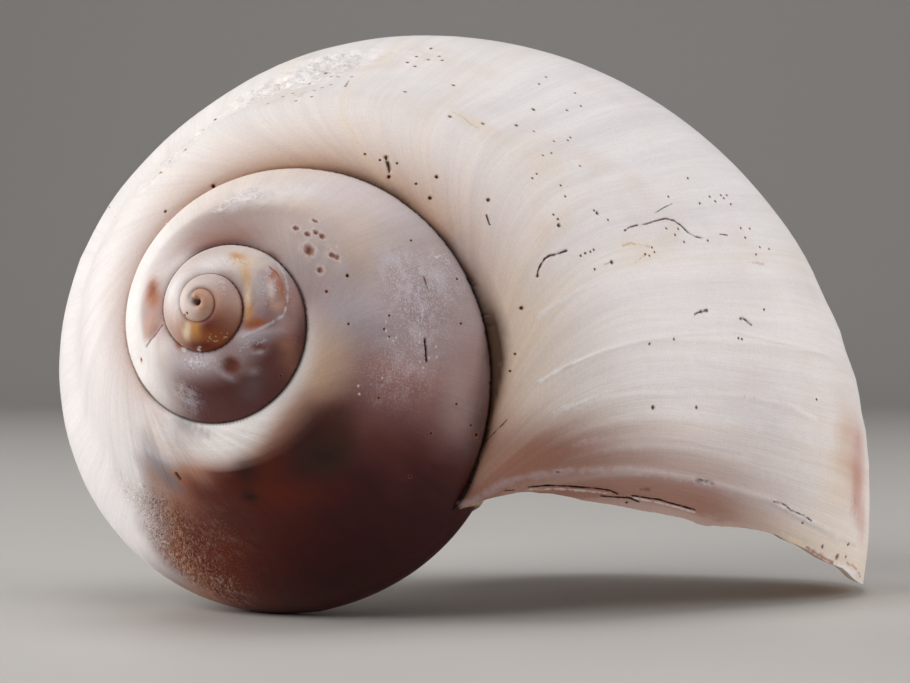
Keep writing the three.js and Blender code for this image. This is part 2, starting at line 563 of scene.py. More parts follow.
@dataclass
class ShellSolid:
    """The closed form of the shell: filled tubes joined, less the hollow inside them."""

    coil: Coil = field(default_factory=Coil)
    lip: Lip = field(default_factory=Lip)
    wall: Wall = field(default_factory=Wall)
    grain: Grain = field(default_factory=Grain)

    def ring_turns(self) -> Array:
        """The turns of the outer rings, evenly spaced within each stretch."""
        turns = []
        start = self.coil.first_turn
        for stretch in self.grain.stretches:
            count = round((stretch.up_to - start) * stretch.per_turn)
            turns.append(start + (stretch.up_to - start) * np.arange(count) / count)
            start = stretch.up_to
        turns.append(np.array([start]))
        return np.concatenate(turns)

    def bent(self, ring_turn: Array, around: Array) -> Array:
        """Turns of a ring's points: near the lip a ring bends over to the lip line."""
        share = np.clip(1.0 + ring_turn / self.grain.bend, 0.0, 1.0) ** 2
        return ring_turn + self.lip.turn(around) * share

    def tube(self, name: str, rings: Array, around: int, move) -> bpy.types.Object:
        """A closed tube: the section carried through the rings, with a fan over each end.

        Args:
            name: The object's name.
            rings: Turns of the rings.
            around: Points round each ring.
            move: Function of turn and around that gives the move along the normal.

        Returns:
            The tube, in metres, in the shell's own frame.
        """
        ring = np.repeat(rings[:, None], around, 1)
        angle = np.repeat(np.linspace(0.0, 360.0, around, endpoint=False)[None], len(rings), 0)
        turn = self.bent(ring, angle)
        points = self.coil.place(turn, angle, move(turn, angle)) * METRE
        middle = points.mean(1, keepdims=True)
        behind = np.clip(1.0 - (rings - self.coil.first_turn) / self.grain.round_start, 0.0, 0.995)
        points = middle + (points - middle) * np.sqrt(1.0 - behind**2)[:, None, None]
        ends = points[[0, -1]].mean(1)
        index = np.arange(points.shape[0] * around).reshape(-1, around)
        after = np.roll(index, -1, 1)
        sides = np.stack([index[:-1], after[:-1], after[1:], index[1:]], -1).reshape(-1, 4)
        centre = np.full(around, index.size)
        first = np.stack([centre, after[0], index[0]], -1)
        last = np.stack([centre + 1, index[-1], after[-1]], -1)
        mesh = bpy.data.meshes.new(name)
        faces = sides.tolist() + first.tolist() + last.tolist()
        mesh.from_pydata(np.concatenate([points.reshape(-1, 3), ends]).tolist(), [], faces)
        made = bpy.data.objects.new(name, mesh)
        bpy.context.scene.collection.objects.link(made)
        return made

    def tubes(self, name: str, rings: Array, around: int, move) -> list[bpy.types.Object]:
        """Tubes of less than one whorl each, end to end, so that none meets itself."""
        made = []
        first = 0
        while first < len(rings) - 1:
            last = int(np.searchsorted(rings, rings[first] + self.grain.outer_piece))
            last = min(max(last, first + 1), len(rings) - 1)
            made.append(self.tube(f"{name}_{len(made)}", rings[first : last + 1], around, move))
            first = last
        return made

    def combine(self, host: bpy.types.Object, others: list, operation: str) -> None:
        """Joins other closed meshes to a host, or cuts them from it, with live modifiers."""
        for other in others:
            modifier = host.modifiers.new(operation.lower(), "BOOLEAN")
            modifier.operation = operation
            modifier.solver = "MANIFOLD"
            modifier.object = other

    def hollows(self, rings: Array) -> list[bpy.types.Object]:
        """The hollow in pieces of half a whorl, each cut back by the older whorls it passes."""
        grain = self.grain
        count = round(-grain.hollow_from / grain.hollow_piece)
        made = []
        for i in range(count):
            start = grain.hollow_from + i * grain.hollow_piece
            end = start + grain.hollow_piece
            past = grain.hollow_past_lip if i == count - 1 else grain.hollow_overlap
            inner = np.arange(start, end - 0.5 / grain.hollow_per_turn, 1.0 / grain.hollow_per_turn)
            turns = np.concatenate([inner, [end, end + past]])
            piece = self.tube(f"hollow_{i}", turns, grain.hollow_around, self.inwards)
            older = rings[rings <= start - grain.covered_until + 1e-9]
            glazed = self.tubes(f"glazed_{i}", older, grain.glazed_around, self.glazed)
            self.combine(piece, glazed, "DIFFERENCE")
            made.append(piece)
        return made

    def inwards(self, turn: Array, around: Array) -> Array:
        """Move from the outer to the inner surface."""
        return -self.wall.thickness(self.coil, self.lip, turn, around)

    def glazed(self, turn: Array, around: Array) -> Array:
        """Move from the outer surface to the glaze that the mouth lays over it."""
        return np.full(np.shape(turn), self.wall.glaze)

    def mesh(self) -> bpy.types.Mesh:
        """The joined and hollowed form as one mesh; the tubes are removed."""
        before = set(bpy.data.objects)
        rings = self.ring_turns()
        outer = self.tubes("outer", rings, self.grain.around, self.coil.callus)
        host = outer[0]
        self.combine(host, outer[1:], "UNION")
        self.combine(host, self.hollows(rings), "DIFFERENCE")
        graph = bpy.context.evaluated_depsgraph_get()
        made = bpy.data.meshes.new_from_object(host.evaluated_get(graph), depsgraph=graph)
        for tube in set(bpy.data.objects) - before:
            bpy.data.meshes.remove(tube.data)
        self.keep_largest(made)
        return made

    def keep_largest(self, mesh: bpy.types.Mesh) -> None:
        """Makes the mesh triangles, and drops crumbs that the cuts left along a suture."""
        work = bmesh.new()
        work.from_mesh(mesh)
        bmesh.ops.triangulate(work, faces=work.faces)
        bmesh.ops.dissolve_degenerate(work, dist=2e-5, edges=work.edges)
        bmesh.ops.triangulate(work, faces=work.faces)
        start = max(work.verts, key=lambda vert: vert.co.length)
        found = {start}
        front = [start]
        while front:
            near = {edge.other_vert(vert) for vert in front for edge in vert.link_edges}
            front = list(near - found)
            found |= near
        bmesh.ops.delete(work, geom=[v for v in work.verts if v not in found], context="VERTS")
        work.to_mesh(mesh)
        work.free()


@dataclass
class Places:
    """Where points of the finished surface lie on the coil.

    Args:
        turn: Turns.
        around: Angles round the section, in degrees.
        side: Values of Surface.
        off: Millimetres outside the exact surface.
        to_older: Millimetres to the next older whorl.
        to_newer: Millimetres to the next newer whorl, where there is one.
    """

    turn: Array
    around: Array
    side: Array
    off: Array
    to_older: Array
    to_newer: Array

    def to_suture(self) -> Array:
        """Millimetres to the nearest other whorl."""
        return np.minimum(self.to_older, self.to_newer)

    def outside(self) -> Array:
        """Which points lie on the outside of the wall."""
        return self.side == Surface.OUTSIDE.value


@dataclass
class Chart:
    """Finds the places of points on the coil, and coordinates that follow its growth."""

    coil: Coil = field(default_factory=Coil)
    lip: Lip = field(default_factory=Lip)
    wall: Wall = field(default_factory=Wall)
    whorls: int = 5
    newest_back: float = 0.9
    hollow_from: float = -2.1
    lines_ahead: float = 0.13
    turn_length: float = 283.0
    section_reach: float = 24.0

    def wound(self, points: Array) -> Array:
        """Turns by which points lie round the axis from the lip, less whole whorls."""
        angle = np.arctan2(-points[:, 1], points[:, 0]) - math.radians(self.coil.lip_angle)
        return (angle / (2.0 * np.pi) + self.newest_back) % 1.0 - self.newest_back

    def against(self, points: Array, turn: Array) -> tuple[Array, Array, Array]:
        """Angles and millimetres outside of a turn's section, and whether it has grown there."""
        out = np.hypot(points[:, 0], points[:, 1])
        around, gap = self.coil.beside(out, points[:, 2], turn)
        grown = (turn > self.coil.first_turn - 0.03) & (turn < self.lip.turn(around) + 0.004)
        return around, gap, grown

    def locate(self, points: Array) -> Places:
        """Places of points: of all whorls and sides, the one whose surface is nearest.

        Args:
            points: Points in the shell's own frame, in millimetres.

        Returns:
            Their places.
        """
        newest = self.wound(points)
        best = np.full(len(points), np.inf)
        turn = np.zeros(len(points))
        side = np.zeros(len(points), int)
        for whorl in range(self.whorls):
            at = newest - whorl
            around, gap, grown = self.against(points, at)
            hollow = grown & (at > self.hollow_from)
            thick = self.wall.thickness(self.coil, self.lip, at, around)
            choices = (
                (Surface.OUTSIDE, gap - self.coil.callus(at, around), grown),
                (Surface.INSIDE, gap + thick, hollow),
                (Surface.GLAZE, gap - self.wall.glaze, grown & (whorl > 0)),
            )
            for surface, off, possible in choices:
                miss = np.abs(off) + 0.03 * surface.value
                nearer = possible & (miss < best)
                best = np.where(nearer, miss, best)
                turn = np.where(nearer, at, turn)
                side = np.where(nearer, surface.value, side)
        return self.place_of(points, turn, side)

    def place_of(self, points: Array, turn: Array, side: Array) -> Places:
        """Places of points whose turn and side are known."""
        around, gap, _ = self.against(points, turn)
        _, older, older_grown = self.against(points, turn - 1.0)
        _, newer, newer_grown = self.against(points, turn + 1.0)
        off = gap - self.coil.callus(turn, around)
        to_older = np.where(older_grown, np.abs(older), 99.0)
        to_newer = np.where(newer_grown, np.abs(newer), 99.0)
        return Places(turn, around, side, off, to_older, to_newer)

    def corners(self, centres: Array, corners: Array, face: Array) -> Places:
        """Places of face corners, each on the whorl and side of its face.

        Args:
            centres: Middles of the faces.
            corners: Points of the corners.
            face: Index of each corner's face.

        Returns:
            Places of the corners.
        """
        middles = self.locate(centres)
        apart_by = self.wound(corners) - self.wound(centres)[face]
        turn = middles.turn[face] + (apart_by + 0.5) % 1.0 - 0.5
        return self.place_of(corners, turn, middles.side[face])

    def growth(self, places: Places) -> Array:
        """The turn at which each place was the growing edge, which leans ahead at a suture."""
        return places.turn - self.lip.ahead(places.around, self.lines_ahead)

    def flow(self, places: Places) -> Array:
        """Coordinates in millimetres: across the growth lines, and twice along them.

        The way across is the turn's length times the sum of the sizes up to there.
        """
        angle = np.radians(places.around)
        reach = self.section_reach * self.coil.size(places.turn)
        turns = np.linspace(self.coil.first_turn - 0.5, 0.2, 600)
        grown = np.cumsum(self.coil.size(turns)) * (turns[1] - turns[0])
        across = self.turn_length * np.interp(self.growth(places), turns, grown)
        return np.stack([across, reach * np.cos(angle), reach * np.sin(angle)], -1)


@dataclass(frozen=True)
class Area:
    """A soft oval on the picture, laid on the shell: its middle, half sizes and strength.

    Args:
        column: Column of its middle.
        row: Row of its middle.
        wide: Half its length, in millimetres.
        high: Half its height, in millimetres.
        tilt: Degrees by which its length is turned anticlockwise from level.
        cover: Its strength in the middle.
        tone: Its colour, for a stain, a painted shadow or a painted highlight.
        edge: 2 fades evenly; more makes a flat middle and a firmer edge.
    """

    column: float
    row: float
    wide: float
    high: float
    tilt: float = 0.0
    cover: float = 1.0
    tone: Tone = Tone.MILK
    edge: float = 2.0


@dataclass(frozen=True)
class Pits:
    """Small round holes of one kind: radius and depth in millimetres, and their places."""

    radius: float
    depth: float
    tone: Tone
    places: tuple[tuple[float, float], ...]


@dataclass(frozen=True)
class Line:
    """A line through places of the picture: a crack, or a raised line where depth is below 0; the colour of
    some lines is a painted highlight or a painted glow.

    Args:
        half: Half its width, in millimetres.
        depth: Its depth, in millimetres.
        tone: Its colour.
        cover: How much the colour hides.
        places: Its course.
    """

    half: float
    depth: float
    tone: Tone
    cover: float
    places: tuple[tuple[float, float], ...]


@dataclass
class Finder:
    """Finds places of the picture on the shell's surface."""

    points: Array
    triangles: Array
    stance: Stance
    viewpoint: Viewpoint
    chart: Chart
    tree: BVHTree = field(init=False)

    def __post_init__(self) -> None:
        """Sorts the surface for quick search."""
        self.tree = BVHTree.FromPolygons(self.points.tolist(), self.triangles.tolist())

    def find(self, places: tuple) -> Array:
        """Points of the surface seen at places of the picture; those off the shell are left out."""
        start = self.stance.to_shell(self.viewpoint.place(self.stance)[None])[0]
        turned = self.stance.matrix()
        found = []
        for column, row in places:
            hit = self.tree.ray_cast(Vector(start), Vector(self.viewpoint.ray(column, row) @ turned))
            if hit[0] is not None:
                found.append(tuple(hit[0]))
        return np.array(found).reshape(-1, 3)

    def course(self, places: tuple, step: float = 1.5) -> Array:
        """Points along a line of the picture, a step in picture points apart."""
        corners = np.array(places, float)
        length = np.concatenate([[0.0], np.cumsum(np.hypot(*np.diff(corners, axis=0).T))])
        along = np.linspace(0.0, length[-1], max(2, round(length[-1] / step)))
        columns = np.interp(along, length, corners[:, 0])
        rows = np.interp(along, length, corners[:, 1])
        return self.find(tuple(zip(columns, rows)))


@dataclass
class Laid:
    """An area of the picture laid on the shell."""

    area: Area
    middle: Array
    turn: float

    def cover(self, ground: Array, turn: Array) -> Array:
        """Strength at points: exp of minus the oval distance to the power of its edge.

        Args:
            ground: Points in the ground's frame, in millimetres.
            turn: Their turns; the area stays on its own whorl.

        Returns:
            Strengths.
        """
        away = ground - self.middle
        tilt = math.radians(self.area.tilt)
        along = (math.cos(tilt) * away[:, 0] + math.sin(tilt) * away[:, 2]) / self.area.wide
        across = (math.cos(tilt) * away[:, 2] - math.sin(tilt) * away[:, 0]) / self.area.high
        deep = away[:, 1] / (1.5 * max(self.area.wide, self.area.high))
        distance = np.sqrt(along**2 + across**2 + deep**2)
        same = np.abs(turn - self.turn) < 0.5
        return self.area.cover * np.exp(-(distance**self.area.edge)) * same


@dataclass(frozen=True)
class Wear:
    """What growth, the sea and the sand have left on the shell, by its place in the picture, together with
    painted highlights, glints and shade.
    """

    holes: tuple[Pits, ...] = (
        Pits(
            0.19,
            0.3,
            Tone.PEAT,
            (
                (405, 92), (453.5, 85), (450, 116), (483, 123), (516.5, 125), (533.5, 109),
                (488, 200), (430, 198), (436.5, 177), (389, 177), (386, 157.5), (612, 262),
                (597, 213), (559, 225), (521.5, 308), (347.5, 275.5), (652.5, 407.5),
                (213, 185.5), (476.5, 435),
            ),
        ),
        Pits(
            0.12,
            0.18,
            Tone.PEAT,
            (
                (539, 84), (546, 77), (581, 106), (575, 93), (567, 110), (534, 131), (554, 141),
                (568, 140), (570.5, 137), (543, 155), (551.5, 153), (580, 166), (532.5, 178),
                (537, 173.5), (561, 185), (565.5, 196), (416, 184), (397, 163.5), (380, 160.5),
                (365, 154.5), (688, 178), (668.5, 196.5), (700, 203), (710, 196.5),
                (715.5, 201), (721, 195), (727, 195), (724, 198), (731, 204), (594, 210.5),
                (608, 220), (558, 219), (553.5, 214.5), (581, 255.5), (585.5, 253),
                (590.5, 251.5), (594, 249.5), (595, 269), (652, 247.5), (645.5, 254),
                (649.5, 255.5), (654.5, 252), (666, 228.5), (675, 235), (678, 229),
                (684, 242), (708, 240.5), (741, 228), (750, 228.5), (745.5, 237.5),
                (760, 247), (769, 249), (756, 254.5), (649, 344), (673, 339.5),
                (737.5, 338.5), (741, 339.5), (764, 309.5), (816.5, 399.5), (802, 523),
                (626.5, 502.5), (515, 354), (510, 371), (411, 240.5), (389, 315.5),
                (348.5, 324), (384, 329), (389, 337), (378.5, 398), (456.5, 404), (410, 477),
                (431, 433.5), (457, 279), (461, 323.5), (471, 425.5), (280.5, 376),
            ),
        ),
        Pits(
            0.16,
            0.14,
            Tone.RUST,
            (
                (431, 49), (439, 56), (442, 60.5), (416.5, 57.5), (407.5, 63), (415, 66.5),
                (428.5, 59.5), (331.5, 77), (338.5, 77), (331, 85), (342.5, 71), (314.5, 90.5),
                (309.5, 84), (293, 93.5), (200.5, 126), (213, 116), (165.5, 211.5),
                (326.5, 291.5), (696, 407.5), (848, 544.5), (822, 546.5), (846, 557), (141.5, 359.5),
                (300, 88), (305, 80), (318, 75), (322, 88), (326, 74), (296, 100), (288, 90),
                (276, 86), (283, 97), (312, 97), (345, 66), (352, 77), (338, 64), (262, 96),
                (268, 104), (255, 100), (186, 150), (178, 148), (170, 160), (160, 172),
            ),
        ),
        Pits(
            0.32,
            0.24,
            Tone.FAWN,
            (
                (296, 228), (315, 221), (307.5, 234), (316, 232.5), (322, 236), (320, 270),
                (336.5, 257), (332, 255), (837, 557),
            ),
        ),
        Pits(0.55, 0.32, Tone.FAWN, ((309, 250),)),
        # Raised specks in LAVENDER: painted glints on the frosted surface.
        Pits(
            0.12,
            -0.04,
            Tone.LAVENDER,
            (
                (386, 322), (386, 331), (388, 338), (393, 341), (396, 338), (436, 347), (420, 362),
                (423, 368), (437, 357), (429, 358), (382, 378), (359, 394), (358, 386), (316, 324),
                (400, 300), (412, 285), (418, 292), (409, 288), (340, 262), (331, 249), (337, 246),
                (184, 349), (182, 345), (199, 350), (200, 347),
            ),
        ),
        Pits(0.14, 0.1, Tone.EARTH, ((185, 315), (187, 313))),
    )
    lines: tuple[Line, ...] = (
        Line(0.12, 0.2, Tone.PEAT, 0.95, ((537.5, 276), (538, 271), (540.5, 265), (544.5, 259),
             (549.5, 255.5), (556.5, 254), (563.5, 251.5), (566.5, 250.5))),
        Line(0.1, 0.15, Tone.PEAT, 0.9, ((624.5, 230.5), (629.5, 227), (638, 225), (645.5, 224),
             (655, 221), (665.5, 218.5), (673.5, 220.5), (681, 225.5), (688, 232.5),
             (695.5, 236.5), (703, 238))),
        Line(0.06, 0.1, Tone.PEAT, 0.7, ((655, 213), (664, 207.5), (672.5, 203.5))),
        Line(0.12, 0.03, Tone.AMBER, 0.45, ((623, 245.5), (630.5, 243), (639.5, 244.5), (649, 246.5))),
        Line(0.1, 0.03, Tone.AMBER, 0.45, ((645.5, 254.5), (635, 263))),
        Line(0.1, 0.03, Tone.AMBER, 0.5, ((605, 264), (612, 262))),
        Line(0.1, 0.03, Tone.AMBER, 0.4, ((749, 262.5), (763.5, 264))),
        Line(0.12, 0.05, Tone.AMBER, 0.35, ((453.5, 111.5), (464, 116.5), (470, 123), (480, 128))),
        Line(0.07, 0.12, Tone.PEAT, 0.8, ((720, 234), (727.5, 235))),
        Line(0.11, 0.15, Tone.PEAT, 0.9, ((694.5, 314), (701, 311.5), (707.5, 310.2))),
        Line(0.11, 0.15, Tone.PEAT, 0.9, ((740, 319), (743, 318.3), (747, 321.5), (751, 325))),
        Line(0.19, 0.28, Tone.SOOT, 0.95, ((386, 157.5), (388.5, 165), (389.5, 171.5))),
        Line(0.1, 0.2, Tone.SOOT, 0.85, ((486.5, 215.5), (489.5, 224.5))),
        Line(0.08, 0.15, Tone.PEAT, 0.85, ((345, 87), (349, 81))),
        Line(0.2, 0.45, Tone.SOOT, 0.95, ((176.3, 473.8), (180, 478.6))),
        Line(0.12, 0.28, Tone.SOOT, 0.9, ((425, 339.5), (426, 350), (426.5, 361))),
        Line(0.07, 0.1, Tone.RUST, 0.8, ((423.7, 277), (427.5, 288.5))),
        Line(0.05, -0.01, Tone.CHALK, 0.5, ((423, 309), (420.5, 330), (419.5, 343))),
        Line(0.09, 0.2, Tone.SOOT, 0.95, ((528, 487.5), (547, 485.5), (564, 486), (578, 487),
             (596, 488.5), (610, 490.5), (617.5, 494))),
        Line(0.08, 0.2, Tone.SOOT, 0.95, ((600.5, 496), (613, 497), (630, 498), (639, 502))),
        Line(0.08, 0.2, Tone.SOOT, 0.95, ((632, 495.5), (646.5, 498), (659, 499.5), (669.5, 503),
             (680, 505.5), (695, 510))),
        Line(0.13, 0.25, Tone.SOOT, 0.95, ((694.5, 479.7), (703, 480.6), (712, 483))),
        Line(0.09, 0.2, Tone.SOOT, 0.95, ((772, 501.5), (783.5, 504.5), (789, 509.5),
             (797.5, 513), (807.5, 518.5), (813, 523))),
        Line(0.08, 0.15, Tone.SOOT, 0.9, ((552.5, 472), (559.5, 472))),
        Line(0.06, 0.1, Tone.SOOT, 0.8, ((505, 490.7), (514.5, 490.7))),
        Line(0.15, 0.05, Tone.MOSS, 0.8, ((640.5, 489.6), (649.5, 489.6))),
        # Painted highlight (LAVENDER) along the raised ridge above the lip.
        Line(0.4, -0.12, Tone.LAVENDER, 0.25, ((460, 505), (483, 497), (501, 484.5), (516.5, 480),
             (539.5, 475), (570, 471.5), (593, 470.5), (624, 470), (654, 473), (688, 478.5),
             (712, 483.5), (744, 493), (769, 500), (786, 509), (811.5, 523), (835.5, 537),
             (856, 544.5))),
        # Painted highlight (PEARL) along the top of a raised growth ridge.
        Line(0.22, -0.09, Tone.PEARL, 0.75, ((540, 382), (565, 367), (600, 352), (620, 346), (640, 341.5), (664, 337), (700, 333), (735, 332),
             (757, 337.5), (790, 345), (820, 353), (845, 369))),
        Line(0.4, -0.07, Tone.PEARL, 0.38, ((555, 412), (595, 400), (640, 394), (690, 394), (740, 396),
             (790, 407), (815, 420))),
        Line(0.35, -0.05, Tone.PEARL, 0.45, ((540, 315), (577, 292), (627, 272), (677, 255), (715, 250),
             (752, 250))),
        Line(0.3, -0.03, Tone.LAVENDER, 0.2, ((575, 444), (590, 441), (640, 438), (690, 441), (740, 452))),
        # Painted highlights (CHALK) on the chipped edges below the cracks of the lip.
        Line(0.1, 0.0, Tone.CHALK, 0.45, ((530, 490), (560, 488.9), (590, 491.3), (610, 494))),
        Line(0.09, 0.0, Tone.CHALK, 0.45, ((634, 497.8), (660, 503), (680, 508), (695, 512.5))),
        Line(0.1, 0.0, Tone.CHALK, 0.6, ((774, 503.8), (786, 510), (797, 515.6), (809, 521.5))),
        # Painted glow (CREAM, OCHRE): the inside of the lip's edge, lit through from behind.
        Line(0.2, 0.0, Tone.CREAM, 0.95, ((782, 533.5), (792, 539), (805, 546.5))),
        Line(0.2, 0.0, Tone.OCHRE, 0.8, ((806, 547.5), (815, 552.5), (825, 559), (832, 563))),
        Line(0.4, 0.0, Tone.CHALK, 0.95, ((839, 566.5), (848, 570), (856, 575))),
        Line(0.14, 0.0, Tone.AMBER, 0.8, ((847, 563), (853, 566), (858, 571), (861, 577))),
        Line(0.05, 0.08, Tone.EARTH, 0.8, ((486, 441), (493, 434), (500, 427), (507, 420))),
        Line(0.16, -0.06, Tone.LAVENDER, 0.6, ((256, 257), (267, 258), (278, 263), (285, 275), (288, 290),
             (287, 304), (282, 316), (272, 323), (264, 327), (252, 333), (243, 337))),
        Line(0.12, 0.05, Tone.OCHRE, 0.8, ((270, 267), (276, 272), (281, 280), (284, 289))),
        Line(0.12, 0.1, Tone.HEATHER, 0.6, ((162, 325), (156, 333), (150, 340), (146, 347))),
    )
    eroded: tuple[Area, ...] = (
        Area(352, 58, 4.4, 1.9, 15.0, 0.7, edge=3.0),
        Area(318, 70, 4.4, 3.0, 22.0, 1.0, edge=3.0),
        Area(282, 84, 3.6, 2.6, 27.0, 1.0, edge=3.0),
        Area(245, 100, 3.6, 2.4, 35.0, 0.9, edge=3.0),
        Area(185, 142, 4.4, 2.6, 42.0, 0.8, edge=3.0),
        Area(150, 180, 3.8, 2.2, 55.0, 0.6, edge=3.0),
        Area(420, 52, 3.4, 1.8, 0.0, 0.35),
        Area(232, 202, 2.4, 1.0, 30.0, 0.7),
        Area(268, 192, 4.2, 1.5, 8.0, 0.8),
        Area(318, 240, 2.4, 2.4, 0.0, 0.5),
        Area(135, 290, 0.6, 4.0, 8.0, 0.5),
    )
    flaked: tuple[Area, ...] = (
        Area(330, 66, 6.0, 2.8, 18.0, 0.5, Tone.CHALK, 3.0),
        Area(262, 94, 4.5, 2.6, 30.0, 0.5, Tone.CHALK, 3.0),
        Area(172, 156, 5.0, 2.6, 46.0, 0.48, Tone.CHALK, 3.0),
        Area(300, 95, 2.0, 1.2, 20.0, 0.4, Tone.TAN),
        Area(243, 197, 3.2, 1.2, 17.0, 0.55, Tone.CHALK, 3.0),
        Area(222, 207, 2.0, 1.0, 34.0, 0.52, Tone.CHALK, 3.0),
        Area(268, 285, 1.6, 2.8, 0.0, 0.46, Tone.LAVENDER, 3.0),
        Area(240, 262, 1.8, 0.8, -15.0, 0.46, Tone.CREAM, 3.0),
        Area(287, 288, 0.7, 3.0, 8.0, 0.5, Tone.MAUVE, 3.0),
        Area(222, 283, 1.3, 2.0, 0.0, 0.44, Tone.LAVENDER, 3.0),
        Area(216, 338, 2.0, 0.8, 10.0, 0.4, Tone.CREAM, 3.0),
        Area(196, 362, 2.4, 0.9, 0.0, 0.5, Tone.CHALK, 3.0),
        # SAND flakes here are painted glints of coppery grains.
        Area(181, 393, 1.1, 2.8, -15.0, 0.43, Tone.SAND, 3.0),
        Area(250, 345, 3.0, 1.0, 15.0, 0.42, Tone.LAVENDER, 3.0),
        Area(418, 300, 3.4, 4.6, 0.0, 0.44, Tone.LAVENDER),
        Area(440, 258, 3.0, 1.2, -40.0, 0.42, Tone.CHALK),
        Area(857, 505, 1.0, 2.4, 0.0, 0.4, Tone.RUST, 3.0),
    )
    crisp: tuple[Area, ...] = (
        Area(525, 415, 5.0, 5.0, 0.0, 1.0, edge=3.0),
        Area(610, 350, 5.0, 2.0, 20.0, 1.0, edge=3.0),
        Area(710, 336, 8.0, 1.5, 0.0, 1.0, edge=3.0),
        Area(560, 475, 8.0, 2.0, 0.0, 1.0, edge=3.0),
        Area(230, 310, 7.0, 7.0, 0.0, 1.0, edge=4.0),
    )
    beaded: tuple[Area, ...] = (
        Area(165, 515, 4.6, 2.2, -60.0, 1.0, edge=3.0),
        Area(178, 548, 4.6, 3.0, -52.0, 1.0, edge=3.0),
        Area(215, 584, 4.4, 2.0, -36.0, 1.0, edge=3.0),
        Area(205, 530, 5.0, 3.4, -50.0, 0.45, edge=2.0),
        Area(128, 490, 2.6, 1.2, -60.0, 0.5, edge=2.0),
    )
    ribbed: tuple[Area, ...] = (
        Area(165, 460, 6.0, 4.0, -60.0, 1.0, edge=3.0),
        Area(235, 432, 5.0, 2.0, 10.0, 0.8, edge=3.0),
        Area(100, 400, 5.0, 8.0, 20.0, 0.4),
        Area(560, 440, 8.0, 5.0, 30.0, 0.5),
        Area(195, 400, 4.0, 2.5, 0.0, 0.6),
    )
    frosted: tuple[Area, ...] = (
        Area(418, 300, 3.2, 4.2),
        Area(398, 268, 2.2, 2.0),
        Area(445, 270, 2.4, 2.4, 0.0, 0.6),
        Area(400, 370, 4.0, 3.0, 0.0, 0.5),
        Area(195, 362, 2.2, 1.0, 0.0, 1.0, edge=3.0),
        Area(186, 396, 1.5, 1.9, 0.0, 0.9, edge=3.0),
        Area(255, 195, 3.0, 1.2, 20.0, 0.7),
        Area(235, 205, 2.0, 1.0, 30.0, 0.7),
    )
    # Where the suture's dark band lies: partly grime, partly painted shade in the channel.
    soiled_and_shaded: tuple[Area, ...] = (
        Area(345, 172, 4.0, 2.0, 0.0, 0.5),
        Area(400, 190, 5.0, 3.0, 0.0, 0.7),
        Area(450, 240, 4.0, 3.0, 0.0, 0.8),
        Area(480, 290, 3.0, 4.0, 0.0, 1.0),
        Area(496, 345, 3.0, 4.5, 0.0, 2.6),
        Area(498, 395, 3.0, 3.0, 0.0, 0.8),
        Area(490, 440, 3.0, 3.0, 0.0, 0.9),
        Area(466, 490, 2.0, 2.0, 0.0, 1.0),
    )
    dents: tuple[Area, ...] = (
        Area(231.5, 366, 0.95, 0.95, 0.0, 0.3, edge=4.0),
        Area(227, 373, 1.0, 0.3, -35.0, -0.07),
        Area(258.5, 346, 0.6, 0.45, 0.0, 0.2, edge=4.0),
        Area(259, 352, 0.7, 0.25, 0.0, -0.06),
        Area(256, 333, 2.6, 0.4, 8.0, -0.07),
        Area(253, 371, 0.5, 0.4, 0.0, -0.06),
        Area(152, 296, 0.5, 1.3, 8.0, 0.1, edge=3.0),
        Area(153, 332, 0.45, 1.5, -40.0, 0.22),
        Area(139, 325, 0.5, 2.5, 0.0, 0.1, edge=3.0),
        Area(272, 270, 0.4, 1.0, -25.0, 0.08),
        Area(284, 292, 0.3, 1.2, 20.0, 0.08),
        Area(262, 296, 0.6, 1.6, 5.0, 0.07),
        Area(295, 101, 0.5, 1.2, 0.0, 0.12, edge=4.0),
        Area(165, 147, 7.0, 4.0, 45.0, 0.5),
        Area(225, 97, 7.0, 3.6, 34.0, 0.42),
        Area(822, 300, 5.0, 3.0, -60.0, 0.5, edge=3.0),
        Area(866, 495, 2.5, 7.0, 0.0, 0.45),
        Area(849, 356, 1.8, 1.4, -60.0, 0.3, edge=3.0),
        Area(862, 410, 1.5, 2.2, -75.0, 0.3, edge=3.0),
    )
